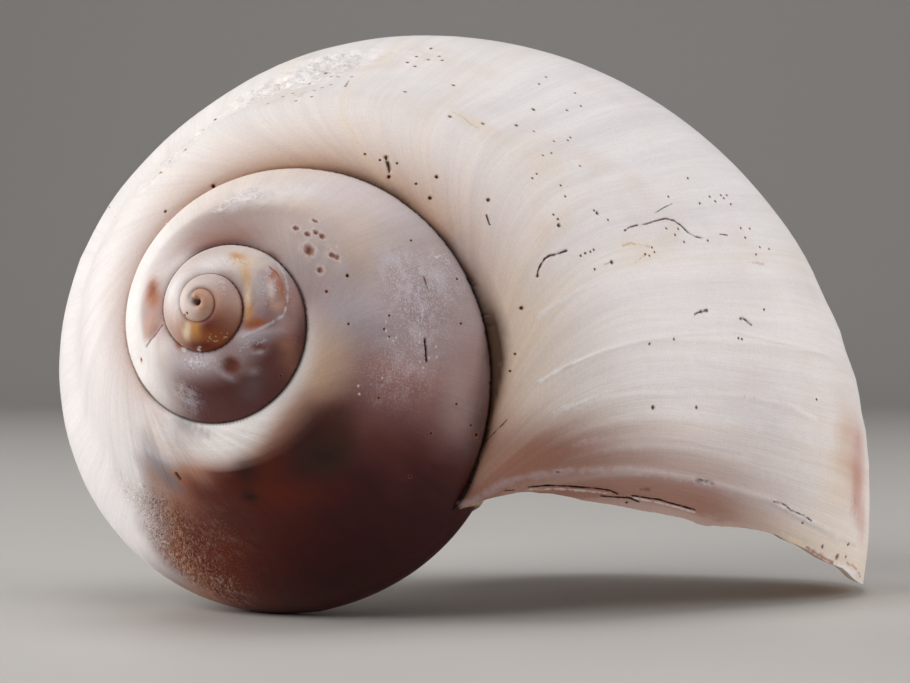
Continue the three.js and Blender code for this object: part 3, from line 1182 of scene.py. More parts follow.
    stains_and_painted_light: tuple[Area, ...] = (
        Area(846, 445, 1.9, 4.8, 0.0, 0.85, Tone.HONEY),
        # FAWN along the lip: its tan, partly painted shade where the surface curves under.
        Area(565, 462, 5.5, 1.3, 5.0, 0.45, Tone.FAWN),
        Area(620, 468, 6.0, 1.4, -5.0, 0.45, Tone.FAWN),
        Area(700, 505, 4.0, 1.2, -20.0, 0.35, Tone.FAWN),
        Area(760, 430, 6.0, 5.0, -20.0, 0.4, Tone.LAVENDER),
        Area(690, 385, 7.0, 2.5, 0.0, 0.3, Tone.LAVENDER),
        Area(515, 458, 3.0, 1.6, 30.0, 0.35, Tone.TAN),
        Area(858, 468, 1.5, 4.5, 0.0, 0.6, Tone.CLAY, 3.0),
        Area(859, 455, 1.2, 3.2, 0.0, 0.9, Tone.ROSE),
        Area(860, 493, 1.0, 2.8, 0.0, 0.95, Tone.ROSE),
        Area(858, 478, 0.4, 2.2, 0.0, 0.5, Tone.OCHRE),
        Area(864, 520, 0.6, 2.4, 0.0, 0.6, Tone.ROSE),
        Area(835, 500, 2.6, 3.0, 0.0, 0.4, Tone.CREAM),
        Area(540, 160, 4.0, 5.0, 0.0, 0.35, Tone.CREAM),
        Area(470, 120, 3.0, 0.8, -30.0, 0.35, Tone.CREAM),
        Area(640, 250, 4.0, 1.8, 10.0, 0.35, Tone.CREAM),
        Area(530, 330, 4.0, 6.0, 0.0, 0.3, Tone.CREAM),
        # Painted shadow (WINE) under the lip's edge, on the older whorl.
        Area(472, 511, 1.3, 0.5, 25.0, 0.9, Tone.WINE, 3.0),
        Area(186, 424, 1.8, 0.8, -20.0, 0.7, Tone.SLATE),
        Area(206, 432, 1.2, 0.5, -5.0, 0.4, Tone.SLATE),
        Area(340, 318, 2.6, 3.0, 0.0, 0.6, Tone.LAVENDER),
        Area(338, 189, 5.5, 2.0, 0.0, 0.5, Tone.LAVENDER),
        Area(345, 240, 3.0, 2.5, 0.0, 0.35, Tone.DUSK),
        # WINE: dark pigment, deepened as painted shade on the underside turned from the light.
        Area(436, 476, 4.0, 4.0, 15.0, 0.5, Tone.WINE),
        Area(230, 347, 2.2, 0.8, 10.0, 0.6, Tone.MAUVE),
        Area(208, 272, 1.8, 1.0, 25.0, 0.7, Tone.PEARL),
        Area(270, 194, 5.0, 1.6, 6.0, 0.55, Tone.CHALK, 3.0),
        Area(300, 205, 1.6, 0.5, 0.0, 0.4, Tone.CREAM),
        Area(178, 300, 0.9, 1.8, 0.0, 0.6, Tone.PEARL),
        # Painted highlight (CHALK) on the left-facing rim of the spire whorl.
        Area(150, 350, 0.8, 1.6, -30.0, 0.7, Tone.CHALK),
        Area(287, 345, 1.0, 3.8, 12.0, 0.5, Tone.TAN),
        Area(232, 392, 4.0, 1.6, 0.0, 0.6, Tone.COCOA),
        Area(216, 262, 2.6, 1.0, 20.0, 0.35, Tone.PEARL),
        Area(252, 262, 1.2, 0.8, 0.0, 0.5, Tone.CREAM),
        Area(256, 285, 1.0, 2.2, 0.0, 0.5, Tone.LAVENDER),
        Area(225, 237, 3.4, 0.7, 8.0, 0.4, Tone.TAN),
        Area(195, 243, 3.0, 1.2, 35.0, 0.4, Tone.BLUSH),
        Area(231, 346, 1.7, 0.7, 10.0, 0.6, Tone.HEATHER),
        Area(153, 326, 0.7, 1.0, 0.0, 0.6, Tone.CLAY),
        Area(252, 340, 2.2, 0.6, 15.0, 0.5, Tone.LAVENDER),
        Area(281, 318, 0.9, 1.6, -15.0, 0.6, Tone.MAUVE),
        Area(294, 300, 0.6, 3.0, 0.0, 0.6, Tone.BLUSH),
        Area(262, 276, 0.5, 0.9, 0.0, 0.6, Tone.MAUVE, 3.0),
        Area(253, 297, 0.45, 0.8, 0.0, 0.5, Tone.SLATE, 3.0),
        Area(265, 312, 0.7, 0.5, 10.0, 0.5, Tone.SLATE, 3.0),
        Area(343, 267, 1.0, 0.9, 0.0, 0.5, Tone.LAVENDER),
        Area(470, 280, 1.4, 4.5, 10.0, 0.4, Tone.SLATE),
        Area(455, 250, 1.8, 1.2, -45.0, 0.35, Tone.LAVENDER),
        Area(405, 215, 3.0, 1.5, -25.0, 0.4, Tone.LAVENDER),
        # PLUM on the underside: painted shade over the dark brown pigment.
        Area(340, 575, 10.0, 5.0, 0.0, 0.85, Tone.PLUM),
        Area(425, 500, 4.0, 3.0, 30.0, 0.5, Tone.PLUM),
        Area(284, 494, 4.8, 2.4, 0.0, 0.85, Tone.EMBER),
        Area(204, 541, 4.2, 3.2, -52.0, 0.85, Tone.EMBER),
        Area(198, 472, 1.8, 1.0, -40.0, 0.4, Tone.CLAY),
        Area(180, 440, 2.2, 1.8, -40.0, 0.65, Tone.DUSK),
        # EARTH along the suture channel: partly grime, partly painted shade.
        Area(479, 425, 5.5, 1.0, 81.0, 0.75, Tone.EARTH),
        Area(487, 350, 4.0, 0.6, 85.0, 0.6, Tone.EARTH),
        Area(458, 398, 2.0, 4.0, 0.0, 0.4, Tone.DUSK),
        Area(325, 455, 3.3, 2.5, 15.0, 0.85, Tone.EARTH, 2.5),
        Area(323, 457, 2.2, 1.5, 15.0, 0.45, Tone.SOOT),
        Area(338, 420, 2.0, 2.7, -15.0, 0.6, Tone.EARTH),
        Area(246, 471, 1.2, 1.4, 0.0, 0.75, Tone.SOOT),
        Area(249.5, 496, 0.8, 0.8, 0.0, 0.9, Tone.SOOT, 3.0),
        Area(152, 456, 3.0, 1.2, -66.0, 0.6, Tone.SLATE),
        Area(170, 480, 1.8, 0.9, -55.0, 0.75, Tone.SLATE),
        Area(352, 268, 1.8, 1.8, 0.0, 0.4, Tone.SLATE),
        Area(362, 306, 3.0, 2.2, 0.0, 0.4, Tone.LAVENDER),
        Area(350, 330, 3.0, 4.0, 0.0, 0.35, Tone.SLATE),
        Area(390, 330, 2.5, 2.0, 0.0, 0.3, Tone.SLATE),
        Area(355, 250, 2.5, 4.0, 0.0, 0.3, Tone.SAND),
        Area(330, 350, 2.5, 3.0, 0.0, 0.35, Tone.SAND),
        Area(153, 296, 0.85, 2.0, 8.0, 0.6, Tone.CLAY, 3.0),
        Area(152, 293, 0.85, 1.5, 8.0, 0.95, Tone.OCHRE, 3.0),
        Area(152, 287, 0.4, 0.6, 8.0, 0.6, Tone.RUST, 3.0),
        Area(147, 328, 0.5, 1.4, -25.0, 0.7, Tone.CLAY, 3.0),
        Area(153, 332, 0.4, 1.2, -40.0, 0.7, Tone.BLUSH, 3.0),
        Area(141, 360, 0.2, 0.25, 0.0, 0.9, Tone.OCHRE),
        Area(180, 262, 1.6, 0.8, 40.0, 0.5, Tone.CHALK),
        Area(237, 256, 0.8, 0.4, -10.0, 0.9, Tone.AMBER),
        Area(246, 268, 0.7, 1.1, 8.0, 0.7, Tone.CREAM),
        Area(247, 278, 0.4, 1.6, 8.0, 0.75, Tone.AMBER),
        Area(248, 298, 0.35, 1.6, 0.0, 0.85, Tone.CREAM),
        Area(249, 312, 0.38, 0.9, 0.0, 0.9, Tone.AMBER),
        Area(255, 324, 1.2, 0.6, 5.0, 0.95, Tone.OCHRE, 3.0),
        Area(249, 328, 0.4, 0.35, 0.0, 0.8, Tone.OCHRE, 3.0),
        Area(259, 290, 0.6, 1.7, 5.0, 0.75, Tone.DUSK, 3.0),
        Area(262, 303, 0.4, 1.0, 0.0, 0.6, Tone.MAUVE, 3.0),
        Area(271, 288, 0.35, 1.3, 8.0, 0.7, Tone.MILK),
        Area(272, 275, 0.3, 0.8, -25.0, 0.85, Tone.OCHRE),
        Area(282, 290, 0.45, 1.6, 15.0, 0.85, Tone.OCHRE),
        Area(275, 305, 0.7, 0.6, 0.0, 0.7, Tone.CLAY),
        Area(272, 256, 0.9, 0.4, -30.0, 0.75, Tone.HEATHER, 3.0),
        Area(213, 246, 1.8, 0.3, 12.0, 0.7, Tone.HEATHER),
        Area(256, 333, 2.4, 0.45, 8.0, 0.6, Tone.LAVENDER),
        # Painted highlights (LAVENDER) on the raised rims below two dents.
        Area(226, 375, 0.9, 0.3, -35.0, 0.6, Tone.LAVENDER),
        Area(259, 352, 0.6, 0.2, 0.0, 0.6, Tone.LAVENDER),
        Area(253, 371, 0.6, 0.45, 0.0, 0.45, Tone.DUSK),
        Area(251, 388, 1.1, 1.6, -20.0, 0.3, Tone.SLATE),
        Area(196, 362, 2.0, 0.9, 0.0, 0.6, Tone.LAVENDER),
        Area(232, 290, 0.8, 1.7, 0.0, 0.55, Tone.MAUVE),
        Area(226, 275, 0.9, 0.5, -30.0, 0.5, Tone.MAUVE),
        Area(212, 340, 2.0, 1.0, 10.0, 0.7, Tone.OCHRE, 3.0),
        Area(200, 346, 1.6, 0.6, 0.0, 0.9, Tone.EMBER, 3.0),
        Area(187, 332, 0.5, 1.0, -12.0, 0.95, Tone.CREAM, 3.0),
        Area(195, 330, 0.5, 1.1, 0.0, 0.85, Tone.AMBER),
        Area(179, 345, 0.35, 0.5, 35.0, 0.85, Tone.OCHRE, 3.0),
        # Painted glints (CHALK) on the frosted bottom of the inner whorl.
        Area(184, 349, 0.2, 0.35, 30.0, 0.9, Tone.CHALK, 3.0),
        Area(199, 350, 0.15, 0.3, 10.0, 0.9, Tone.CHALK, 3.0),
        Area(203, 310, 0.7, 1.2, 0.0, 0.5, Tone.TAN),
        Area(231.5, 366, 1.3, 1.2, 0.0, 0.5, Tone.MAUVE, 4.0),
        Area(231.5, 366, 1.05, 1.0, 0.0, 0.95, Tone.RUST, 5.0),
        Area(229, 362, 0.5, 0.5, 0.0, 0.5, Tone.UMBER),
        Area(258.5, 346, 0.6, 0.45, 0.0, 0.9, Tone.RUST, 4.0),
    )


@dataclass
class Marks:
    """The small marks and soft areas of the wear, found on the surface."""

    finder: Finder
    wear: Wear
    hidden: int = 90
    small: float = 0.25
    centres: Array = field(init=False)
    radii: Array = field(init=False)
    kinds: list[Pits] = field(init=False)
    courses: list[tuple[Line, Array]] = field(init=False)

    def __post_init__(self) -> None:
        """Finds the pits and lines on the surface, and strews pits over the unseen sides."""
        self.kinds = []
        centres = []
        for kind in self.wear.holes:
            found = self.finder.find(kind.places)
            centres.append(found)
            self.kinds += [kind] * len(found)
        strewn = self.strewn()
        centres.append(strewn)
        self.kinds += [self.wear.holes[1 + i % 2] for i in range(len(strewn))]
        self.centres = np.concatenate(centres)
        self.radii = np.array([kind.radius for kind in self.kinds])
        self.courses = [(line, self.finder.course(line.places)) for line in self.wear.lines]

    def strewn(self) -> Array:
        """Seeded places on the outside of the last whorl that face away from the camera."""
        random = np.random.default_rng(7)
        turn = random.uniform(-0.85, -0.03, 6 * self.hidden)
        around = random.uniform(-150.0, 75.0, 6 * self.hidden)
        points = self.finder.chart.coil.place(turn, around, np.zeros(len(turn)))
        away = self.finder.stance.to_ground(self.finder.chart.coil.place(turn, around, np.ones(len(turn))))
        faces_back = away[:, 1] > self.finder.stance.to_ground(points)[:, 1] + 0.15
        found = []
        for point in points[faces_back]:
            near = self.finder.tree.find_nearest(Vector(point))
            if near[3] < 0.1:
                found.append(tuple(point))
        return np.array(found[: self.hidden])

    def lay(self, areas: tuple[Area, ...]) -> list[Laid]:
        """Areas laid on the shell where their middles are seen."""
        laid = []
        for area in areas:
            middle = self.finder.find(((area.column, area.row),))
            if len(middle):
                turn = self.finder.chart.locate(middle).turn[0]
                laid.append(Laid(area, self.finder.stance.to_ground(middle)[0], turn))
        return laid

    def grain(self, points: Array) -> Array:
        """Wanted edge lengths at points, for the marks: fine on a mark, growing away from it."""
        spots = [(centre, radius * 0.5) for centre, radius in zip(self.centres, self.radii)]
        spots += [(point, max(0.075, line.half * 0.9)) for line, course in self.courses for point in course]
        tree = KDTree(len(spots))
        for i, (centre, _) in enumerate(spots):
            tree.insert(Vector(centre), i)
        tree.balance()
        fine = np.array([size for _, size in spots])
        nearest = [tree.find(point)[1:] for point in points.tolist()]
        index = np.array([found[0] for found in nearest])
        distance = np.array([found[1] for found in nearest])
        return fine[index] + 0.55 * np.maximum(0.0, distance - 2.2 * fine[index])

    def sink(self, points: Array) -> tuple[Array, Array, Array]:
        """Depth, cover and colour that the pits and lines give to points.

        Args:
            points: Points in the shell's own frame, in millimetres.

        Returns:
            Millimetres inwards, cover from 0 to 1, and colours.
        """
        depth = np.zeros(len(points))
        cover = np.zeros(len(points))
        colour = np.zeros((len(points), 3))
        ragged = Mottle(11).at(points, 0.45)
        for line, course in self.courses:
            near, distance = self.beside(points, course, 2.5 * line.half)
            inner = 1.0 - ramp(distance, 0.2 * line.half, 1.2 * line.half)
            outer = 1.0 - ramp(distance + 0.5 * line.half * ragged[near], 0.6 * line.half, 1.3 * line.half)
            depth[near] += line.depth * inner
            self.stain(near, outer * line.cover * ramp(-ragged[near], -0.9, 0.0), line.tone, cover, colour)
        for centre, kind in zip(self.centres, self.kinds):
            distance = np.linalg.norm(points - centre, axis=1)
            near = np.flatnonzero(distance < 2.0 * kind.radius)
            distance = distance[near]
            depth[near] += kind.depth * (1.0 - ramp(distance, 0.3 * kind.radius, 1.15 * kind.radius))
            rim = bell(distance - 1.4 * kind.radius, 0.32 * kind.radius)
            wide = kind.radius > self.small
            depth[near] -= 0.15 * kind.depth * rim * wide
            self.stain(near, 0.24 * rim, Tone.CHALK if wide else Tone.AMBER, cover, colour)
            outer = 1.0 - ramp(distance, 0.85 * kind.radius, 1.3 * kind.radius)
            self.stain(near, outer * 0.97, kind.tone, cover, colour)
        return depth, cover, colour

    def stain(self, near: Array, strength: Array, tone: Tone, cover: Array, colour: Array) -> None:
        """Lays one more colour over the colours gathered so far, in place."""
        share = strength / np.maximum(1e-9, strength + cover[near] * (1.0 - strength))
        colour[near] += (tone.light() - colour[near]) * share[:, None]
        cover[near] = strength + cover[near] * (1.0 - strength)

    def beside(self, points: Array, course: Array, reach: float) -> tuple[Array, Array]:
        """Indices of the points within reach of a course, and their distances from it."""
        middle = course.mean(0)
        radius = np.linalg.norm(course - middle, axis=1).max() + reach
        near = np.flatnonzero(np.linalg.norm(points - middle, axis=1) < radius)
        best = np.full(len(near), np.inf)
        for start, end in zip(course[:-1], course[1:]):
            along = end - start
            share = np.clip((points[near] - start) @ along / max(1e-9, along @ along), 0.0, 1.0)
            foot = start + share[:, None] * along
            best = np.minimum(best, np.linalg.norm(points[near] - foot, axis=1))
        close = best < reach
        return near[close], best[close]


@dataclass
class Relief:
    """The low relief: growth ridges, soft dents, the channel at the suture, scales and beads."""

    chart: Chart
    channel: float = 0.28
    channel_half: float = 0.3
    ridge_count: int = 170
    ridge_height: float = 0.06
    nibble: float = 0.12
    nibble_reach: float = 0.9
    bead_height: float = 0.09
    strong: tuple[tuple[float, float], ...] = (
        (-0.108, 0.05),
        (-0.092, 0.06),
        (-0.075, 0.15),
        (-0.056, 0.09),
        (-0.043, 0.1),
        (-0.03, 0.08),
        (-0.018, 0.06),
        (-0.35, 0.06),
        (-0.5, 0.08),
        (-1.15, 0.06),
    )
    strong_turns: float = 0.006

    @staticmethod
    def beads(flow: Array) -> Array:
        """Beads, from -1 to 1: noise whose cells are twice as long along the growth lines."""
        return Mottle(6).at(flow * np.array([5.0, 2.6, 2.6]), 1.0)

    def ridges(self, across: Array) -> Array:
        """Growth ridges: seeded steps, steep towards the lip, closer together on older whorls.

        Args:
            across: Millimetres across the growth lines, from the apex.

        Returns:
            Heights in millimetres.
        """
        random = np.random.default_rng(3)
        at = np.exp(random.uniform(math.log(20.0), math.log(self.chart.turn_length), self.ridge_count))
        share = at / self.chart.turn_length
        height = self.ridge_height * random.uniform(0.2, 1.0, self.ridge_count) ** 2 * share**0.5
        width = random.uniform(0.9, 2.6, self.ridge_count) * share**0.5
        total = np.zeros(len(across))
        for place, tall, wide in zip(at, height, width):
            behind = (place - across) / wide
            total += tall * np.where(behind > 0, np.exp(-np.abs(behind)), np.exp(-3.5 * np.abs(behind)))
        return total

    def arcs(self, places: Places) -> Array:
        """The strong growth ridges, each a long slope that drops steeply towards the lip."""
        growth = self.chart.growth(places)
        total = np.zeros(len(growth))
        for at, tall in self.strong:
            behind = (at - growth) / self.strong_turns
            total += tall * np.where(behind > 0, np.exp(-np.abs(behind)), np.exp(-4.0 * np.abs(behind)))
        return total

    def height(self, places: Places, points: Array, worn: Array, beaded: Array, dents: Array) -> Array:
        """Millimetres outwards at points of the outside.

        Args:
            places: Places of the points.
            points: The points, in millimetres.
            worn: How eroded each is, from 0 to 1.
            beaded: How strongly its growth lines are broken into beads.
            dents: Depth of the large dents.

        Returns:
            Heights; they fade at a suture, where the channel takes over.
        """
        flow = self.chart.flow(places)
        size = self.chart.coil.size(places.turn) ** 0.5
        free = ramp(places.to_suture(), 0.1, 1.6)
        height = self.ridges(flow[:, 0]) * free + self.arcs(places) * ramp(places.to_suture(), 1.0, 9.0)
        height += (0.1 * Mottle(1).at(points, 9.0) + 0.035 * Mottle(2).at(points, 3.5)) * free * size
        scales = ramp(Mottle(4).at(points * np.array([1.0, 1.0, 1.6]), 1.1), 0.0, 0.45)
        height -= worn * (0.4 * scales + 0.2 * Mottle(5).at(points, 0.55)) * free
        height += beaded * self.bead_height * self.beads(flow) * free
        height -= dents
        begun = ramp(places.turn, self.chart.coil.first_turn, self.chart.coil.first_turn + 0.7)
        return height - begun * self.channel * size * bell(places.to_suture(), self.channel_half * size)

    def nibbled(self, places: Places, points: Array) -> Array:
        """Millimetres by which the lip's edge is worn back, unevenly along the edge."""
        out = np.hypot(points[:, 0], points[:, 1])
        behind = (self.chart.lip.turn(places.around) - places.turn) * 2.0 * np.pi * out
        along = np.stack([places.around, places.around * 0.37, np.zeros(len(out))], -1)
        uneven = ramp(Mottle(8).at(along, 4.5), 0.0, 0.9) + 0.3 * ramp(Mottle(9).at(along, 1.4), 0.1, 0.8)
        return self.nibble * uneven * (1.0 - ramp(behind, 0.0, self.nibble_reach))


@dataclass(frozen=True)
class Stage:
    """The colour painted at one turn: the shell's own colour with painted light and shade in it."""

    turn: float
    tone: Tone


@dataclass
class Painter:
    """Colours the corners of the mesh: by the turn they grew at, then shoulder, lip and seam, with painted
    light and shade among them.
    """

    chart: Chart
    relief: Relief
    # Colour by turn: partly the shell's own bands, partly painted light and shade, paler where a whorl faces
    # the light and darker on its lower side.
    stages: tuple[Stage, ...] = (
        Stage(-4.0, Tone.CLAY),
        Stage(-3.62, Tone.BONE),
        Stage(-3.25, Tone.BONE),
        Stage(-3.05, Tone.CLAY),
        Stage(-2.87, Tone.EMBER),
        Stage(-2.7, Tone.CLAY),
        Stage(-2.5, Tone.CHALK),
        Stage(-2.35, Tone.BONE),
        Stage(-2.22, Tone.BONE),
        Stage(-2.14, Tone.DUSK),
        Stage(-2.06, Tone.BLUSH),
        Stage(-1.98, Tone.MAUVE),
        Stage(-1.8, Tone.MAUVE),
        Stage(-1.73, Tone.DUSK),
        Stage(-1.66, Tone.CHALK),
        Stage(-1.45, Tone.CHALK),
        Stage(-1.3, Tone.MILK),
        Stage(-1.21, Tone.BONE),
        Stage(-1.14, Tone.DUSK),
        Stage(-1.08, Tone.MAUVE),
        Stage(-1.05, Tone.MAUVE),
        Stage(-1.015, Tone.BLUSH),
        Stage(-0.985, Tone.HEATHER),
        Stage(-0.955, Tone.COCOA),
        Stage(-0.92, Tone.WINE),
        Stage(-0.88, Tone.WINE),
        Stage(-0.845, Tone.UMBER),
        Stage(-0.8, Tone.UMBER),
        Stage(-0.765, Tone.RUST),
        Stage(-0.735, Tone.TAN),
        Stage(-0.712, Tone.DUSK),
        Stage(-0.69, Tone.PEARL),
        Stage(-0.4, Tone.CHALK),
        Stage(-0.15, Tone.PEARL),
        Stage(-0.05, Tone.CHALK),
        Stage(0.05, Tone.MILK),
    )

    def grown(self, turn: Array) -> Array:
        """Colours by turn, painted light and shade included: between two stages the roots of their light are
        mixed evenly.
        """
        turns = [stage.turn for stage in self.stages]
        roots = np.array([stage.tone.light() for stage in self.stages]) ** 0.5
        return np.stack([np.interp(turn, turns, root) for root in roots.T], -1) ** 2

    def outside(
        self, places: Places, ground: Array, stains_and_painted_light: list[Laid], frosted: Array, beaded: Array, soiled_and_shaded: Array
    ) -> Array:
        """Colours of the outside: whorl by whorl with painted light and shade, then stain areas with painted
        shadows and highlights among them, then the suture's dark band, partly grime and partly painted
        shade.

        Args:
            places: Places of the points.
            ground: The points in the ground's frame, in millimetres.
            stains_and_painted_light: Stain areas, painted shadows and painted highlights laid on the shell.
            frosted: How frosted each point is.
            beaded: How strongly the growth lines are broken into beads.
            soiled_and_shaded: How strong the suture's dark band is near each point, partly grime and partly
                painted shade.

        Returns:
            Linear colours.
        """
        turn = places.turn
        around = places.around
        drift = 0.012 * Mottle(21).at(ground, 6.0) + 0.006 * Mottle(22).at(ground, 2.0)
        # late: on the shoulder, and a little on the lower side, the colour is taken from a later stage,
        # which moves the painted light and shade of the stages.
        late = 0.13 * ramp(around, 42.0, 72.0) * ramp(turn, -0.96, -0.86) * (1.0 - ramp(turn, -0.68, -0.6))
        late += 0.02 * ramp(-around, 0.0, 30.0)
        # Colour by turn, with the painted light and shade of the stages.
        colour = self.grown(turn + drift + late)
        # Shoulder band by the older suture: paler in part as painted light (CLAY, SAND), with a painted
        # highlight (CHALK) along its lit edge next to the suture.
        low = 51.0 - 8.0 * ramp(-turn, 0.93, 0.98)
        rim = 58.0 + 11.0 * ramp(-turn, 0.8, 0.92)
        near = ramp(turn, -1.1, -0.99) * (1.0 - ramp(turn, -0.73, -0.68))
        shoulder = ramp(around, low, rim - 2.0) * near
        colour = blended(colour, Tone.CLAY.light(), 0.85 * shoulder)
        colour = blended(colour, Tone.SAND.light(), 0.6 * shoulder * ramp(-turn, 0.93, 0.97))
        colour = blended(colour, Tone.CHALK.light(), ramp(around, rim - 8.0, rim + 3.0) * near)
        # Painted shade (HEATHER, COCOA) close to the older suture, at turn -1.31.
        groove_shade = np.exp(-places.to_older / 2.6) * bell(turn + 1.31, 0.14)
        colour = blended(colour, Tone.HEATHER.light(), 0.95 * groove_shade)
        colour = blended(colour, Tone.COCOA.light(), 0.45 * groove_shade**2)
        # Painted shade (HEATHER) along the sutures of the spire, on the older side.
        nook_shade = np.exp(-places.to_older / 0.4) * ramp(turn, -3.6, -3.2) * (1.0 - ramp(turn, -1.7, -1.2))
        colour = blended(colour, Tone.HEATHER.light(), 0.7 * nook_shade)
        # Painted shade (BLUSH) in the hollow beside the older suture, at turn -1.57 and above 40 degrees
        # round.
        left = ramp(around, 40.0, 58.0) * bell(turn + 1.57, 0.09)
        colour = blended(colour, Tone.BLUSH.light(), 0.8 * left)
        # Painted shade (COCOA) on the lower side of the whorl between turns -2.13 and -1.7.
        low = (1.0 - ramp(around, 42.0, 64.0)) * ramp(-turn, 1.7, 1.78) * ramp(turn, -2.13, -2.02)
        colour = blended(colour, Tone.COCOA.light(), 0.95 * low)
        warm = np.exp(-places.to_older / (2.4 + 2.0 * ramp(turn, -0.4, -0.1))) * ramp(turn, -0.5, -0.25)
        colour = blended(colour, Tone.HONEY.light(), 0.9 * warm)
        near = np.exp(-places.to_older / 1.5) * ramp(turn, -0.73, -0.66)
        colour = blended(colour, Tone.TAN.light(), 0.6 * near)
        cloud = Mottle(24).at(ground, 7.0) * 0.6 + Mottle(25).at(ground, 2.5) * 0.4
        colour = blended(colour, Tone.SAND.light(), 0.25 * ramp(cloud, 0.0, 0.8) * ramp(turn, -0.7, -0.5))
        flow = self.chart.flow(places)
        bands = Mottle(30).at(flow * np.array([0.5, 0.02, 0.02]), 1.0) + 0.5 * Mottle(31).at(
            flow * np.array([1.2, 0.05, 0.05]), 1.0
        )
        bands *= ramp(turn, -0.5, -0.2)
        colour = blended(colour, Tone.CREAM.light(), 0.3 * ramp(bands, 0.0, 0.9))
        colour = blended(colour, Tone.LAVENDER.light(), 0.14 * ramp(-bands, 0.0, 0.9))
        # The lip band (FAWN): the lip's own tan, deepened by painted shade where the surface curves under.
        near_lip = turn - 0.5 * self.chart.lip.ahead(around, self.chart.lip.reach)
        lip = ramp(near_lip, -0.048, -0.013) * ramp(around, -25.0, 20.0)
        colour = blended(colour, Tone.FAWN.light(), 0.95 * lip * (1.0 - 0.25 * ramp(-bands, -0.2, 0.6)))
        uneven = 1.0 + 0.6 * Mottle(27).at(flow * np.array([1.6, 0.7, 0.7]), 1.0)
        for stain in stains_and_painted_light:
            cover = stain.cover(ground, turn)
            cover = np.clip(cover * uneven ** (1.0 - cover), 0.0, 1.0)
            colour = blended(colour, stain.area.tone.light(), cover)
        patches = ramp(Mottle(28).at(ground, 0.9) + 0.6 * Mottle(29).at(ground, 0.4), 0.0, 0.5)
        colour = blended(colour, Tone.LAVENDER.light(), 0.55 * frosted * patches)
        # Painted highlight (CHALK) along the tops of the strong growth ridges.
        crest_highlight = np.clip(self.relief.arcs(places) / 0.15, 0.0, 1.0) * ramp(places.to_suture(), 6.0, 14.0)
        colour = blended(colour, Tone.CHALK.light(), 0.7 * crest_highlight)
        beads = Relief.beads(flow)
        colour = blended(colour, Tone.RUST.light(), 0.35 * beaded * ramp(-beads, 0.0, 0.5))
        # Painted highlight (BONE) on the tops of the beads.
        colour = blended(colour, Tone.BONE.light(), 0.22 * beaded * ramp(beads, 0.12, 0.6))
        # Dark band (EARTH) along the suture: partly grime, partly painted shade in the channel.
        dirt_and_shade = soiled_and_shaded * np.exp(-((places.to_suture() / (0.35 + 0.32 * soiled_and_shaded)) ** 1.6))
        colour = blended(colour, Tone.EARTH.light(), np.clip(1.1 * dirt_and_shade, 0.0, 0.95))
        seam = bell(places.to_suture(), 0.1 * self.chart.coil.size(turn) ** 0.4)
        seam *= 0.9 * ramp(turn, -4.1, -3.7) * (0.55 + 0.45 * ramp(turn, -2.8, -1.9))
        seam_turn = np.where(places.to_older < places.to_newer, turn, turn + 1.0)
        # Near this turn the seam's edge lies in the light: its dark line is weakened and turned light brown,
        # as painted light.
        lit_seam = bell(seam_turn + 0.44, 0.15)
        seam *= 1.0 - 0.7 * lit_seam
        young = np.maximum(1.0 - ramp(turn, -2.8, -1.9), lit_seam)
        return blended(colour, blended(Tone.SOOT.light()[None], Tone.OCHRE.light(), young), seam)

    def inside(self, places: Places) -> Array:
        """Colours of the inside: pale at the edge, amber behind it, then tan."""
        behind = (self.chart.lip.turn(places.around) - places.turn) * 300.0
        colour = np.tile(Tone.TAN.light(), (len(behind), 1))
        colour = blended(colour, Tone.AMBER.light(), bell(behind - 4.0, 5.0))
        colour = blended(colour, Tone.CREAM.light(), 1.0 - ramp(behind, 0.5, 2.5))
        return blended(colour, Tone.CREAM.light(), 0.6 * (places.side == Surface.GLAZE.value))


@dataclass
class Nodes:
    """Short ways to add shader nodes and to join them."""

    tree: bpy.types.NodeTree

    def add(self, kind: str, **settings: object) -> bpy.types.Node:
        """Adds a node and sets it."""
        node = self.tree.nodes.new(kind)
        for name, value in settings.items():
            setattr(node, name, value)
        return node

    def put(self, socket: bpy.types.NodeSocket, value: object) -> None:
        """Joins another socket to a socket, or sets its value."""
        if isinstance(value, bpy.types.NodeSocket):
            self.tree.links.new(value, socket)
        else:
            socket.default_value = value

    def attribute(self, name: str, output: str) -> bpy.types.NodeSocket:
        """A value that the mesh carries."""
        return self.add("ShaderNodeAttribute", attribute_name=name).outputs[output]

    def math(self, operation: str, first: object, second: object = 0.0) -> bpy.types.NodeSocket:
        """One sum of two values."""
        node = self.add("ShaderNodeMath", operation=operation)
        self.put(node.inputs[0], first)
        self.put(node.inputs[1], second)
        return node.outputs[0]

    def scaled(self, vector: bpy.types.NodeSocket, factors: tuple) -> bpy.types.NodeSocket:
        """A vector times three factors."""
        node = self.add("ShaderNodeVectorMath", operation="MULTIPLY")
        self.put(node.inputs[0], vector)
        self.put(node.inputs[1], factors)
        return node.outputs[0]

    def noise(self, vector: bpy.types.NodeSocket, detail: float = 3.0) -> bpy.types.NodeSocket:
        """Smooth noise between 0 and 1, with cells of one unit."""
        node = self.add("ShaderNodeTexNoise")
        self.put(node.inputs["Vector"], vector)
        self.put(node.inputs["Scale"], 1.0)
        self.put(node.inputs["Detail"], detail)
        return node.outputs[0]

    def span(self, value: object, low: float, high: float, to_low: float, to_high: float):
        """A value moved from one range to another, and held within it."""
        node = self.add("ShaderNodeMapRange")
        for i, put in enumerate((value, low, high, to_low, to_high)):
            self.put(node.inputs[i], put)
        return node.outputs[0]

    def mix(self, cover: object, under: object, over: object, blend: str = "MIX"):
        """Two colours mixed."""
        node = self.add("ShaderNodeMix", data_type="RGBA", blend_type=blend)
        self.put(node.inputs["Factor"], cover)
        colours = [socket for socket in node.inputs if socket.type == "RGBA"]
        self.put(colours[0], under)
        self.put(colours[1], over)
        return [socket for socket in node.outputs if socket.type == "RGBA"][0]


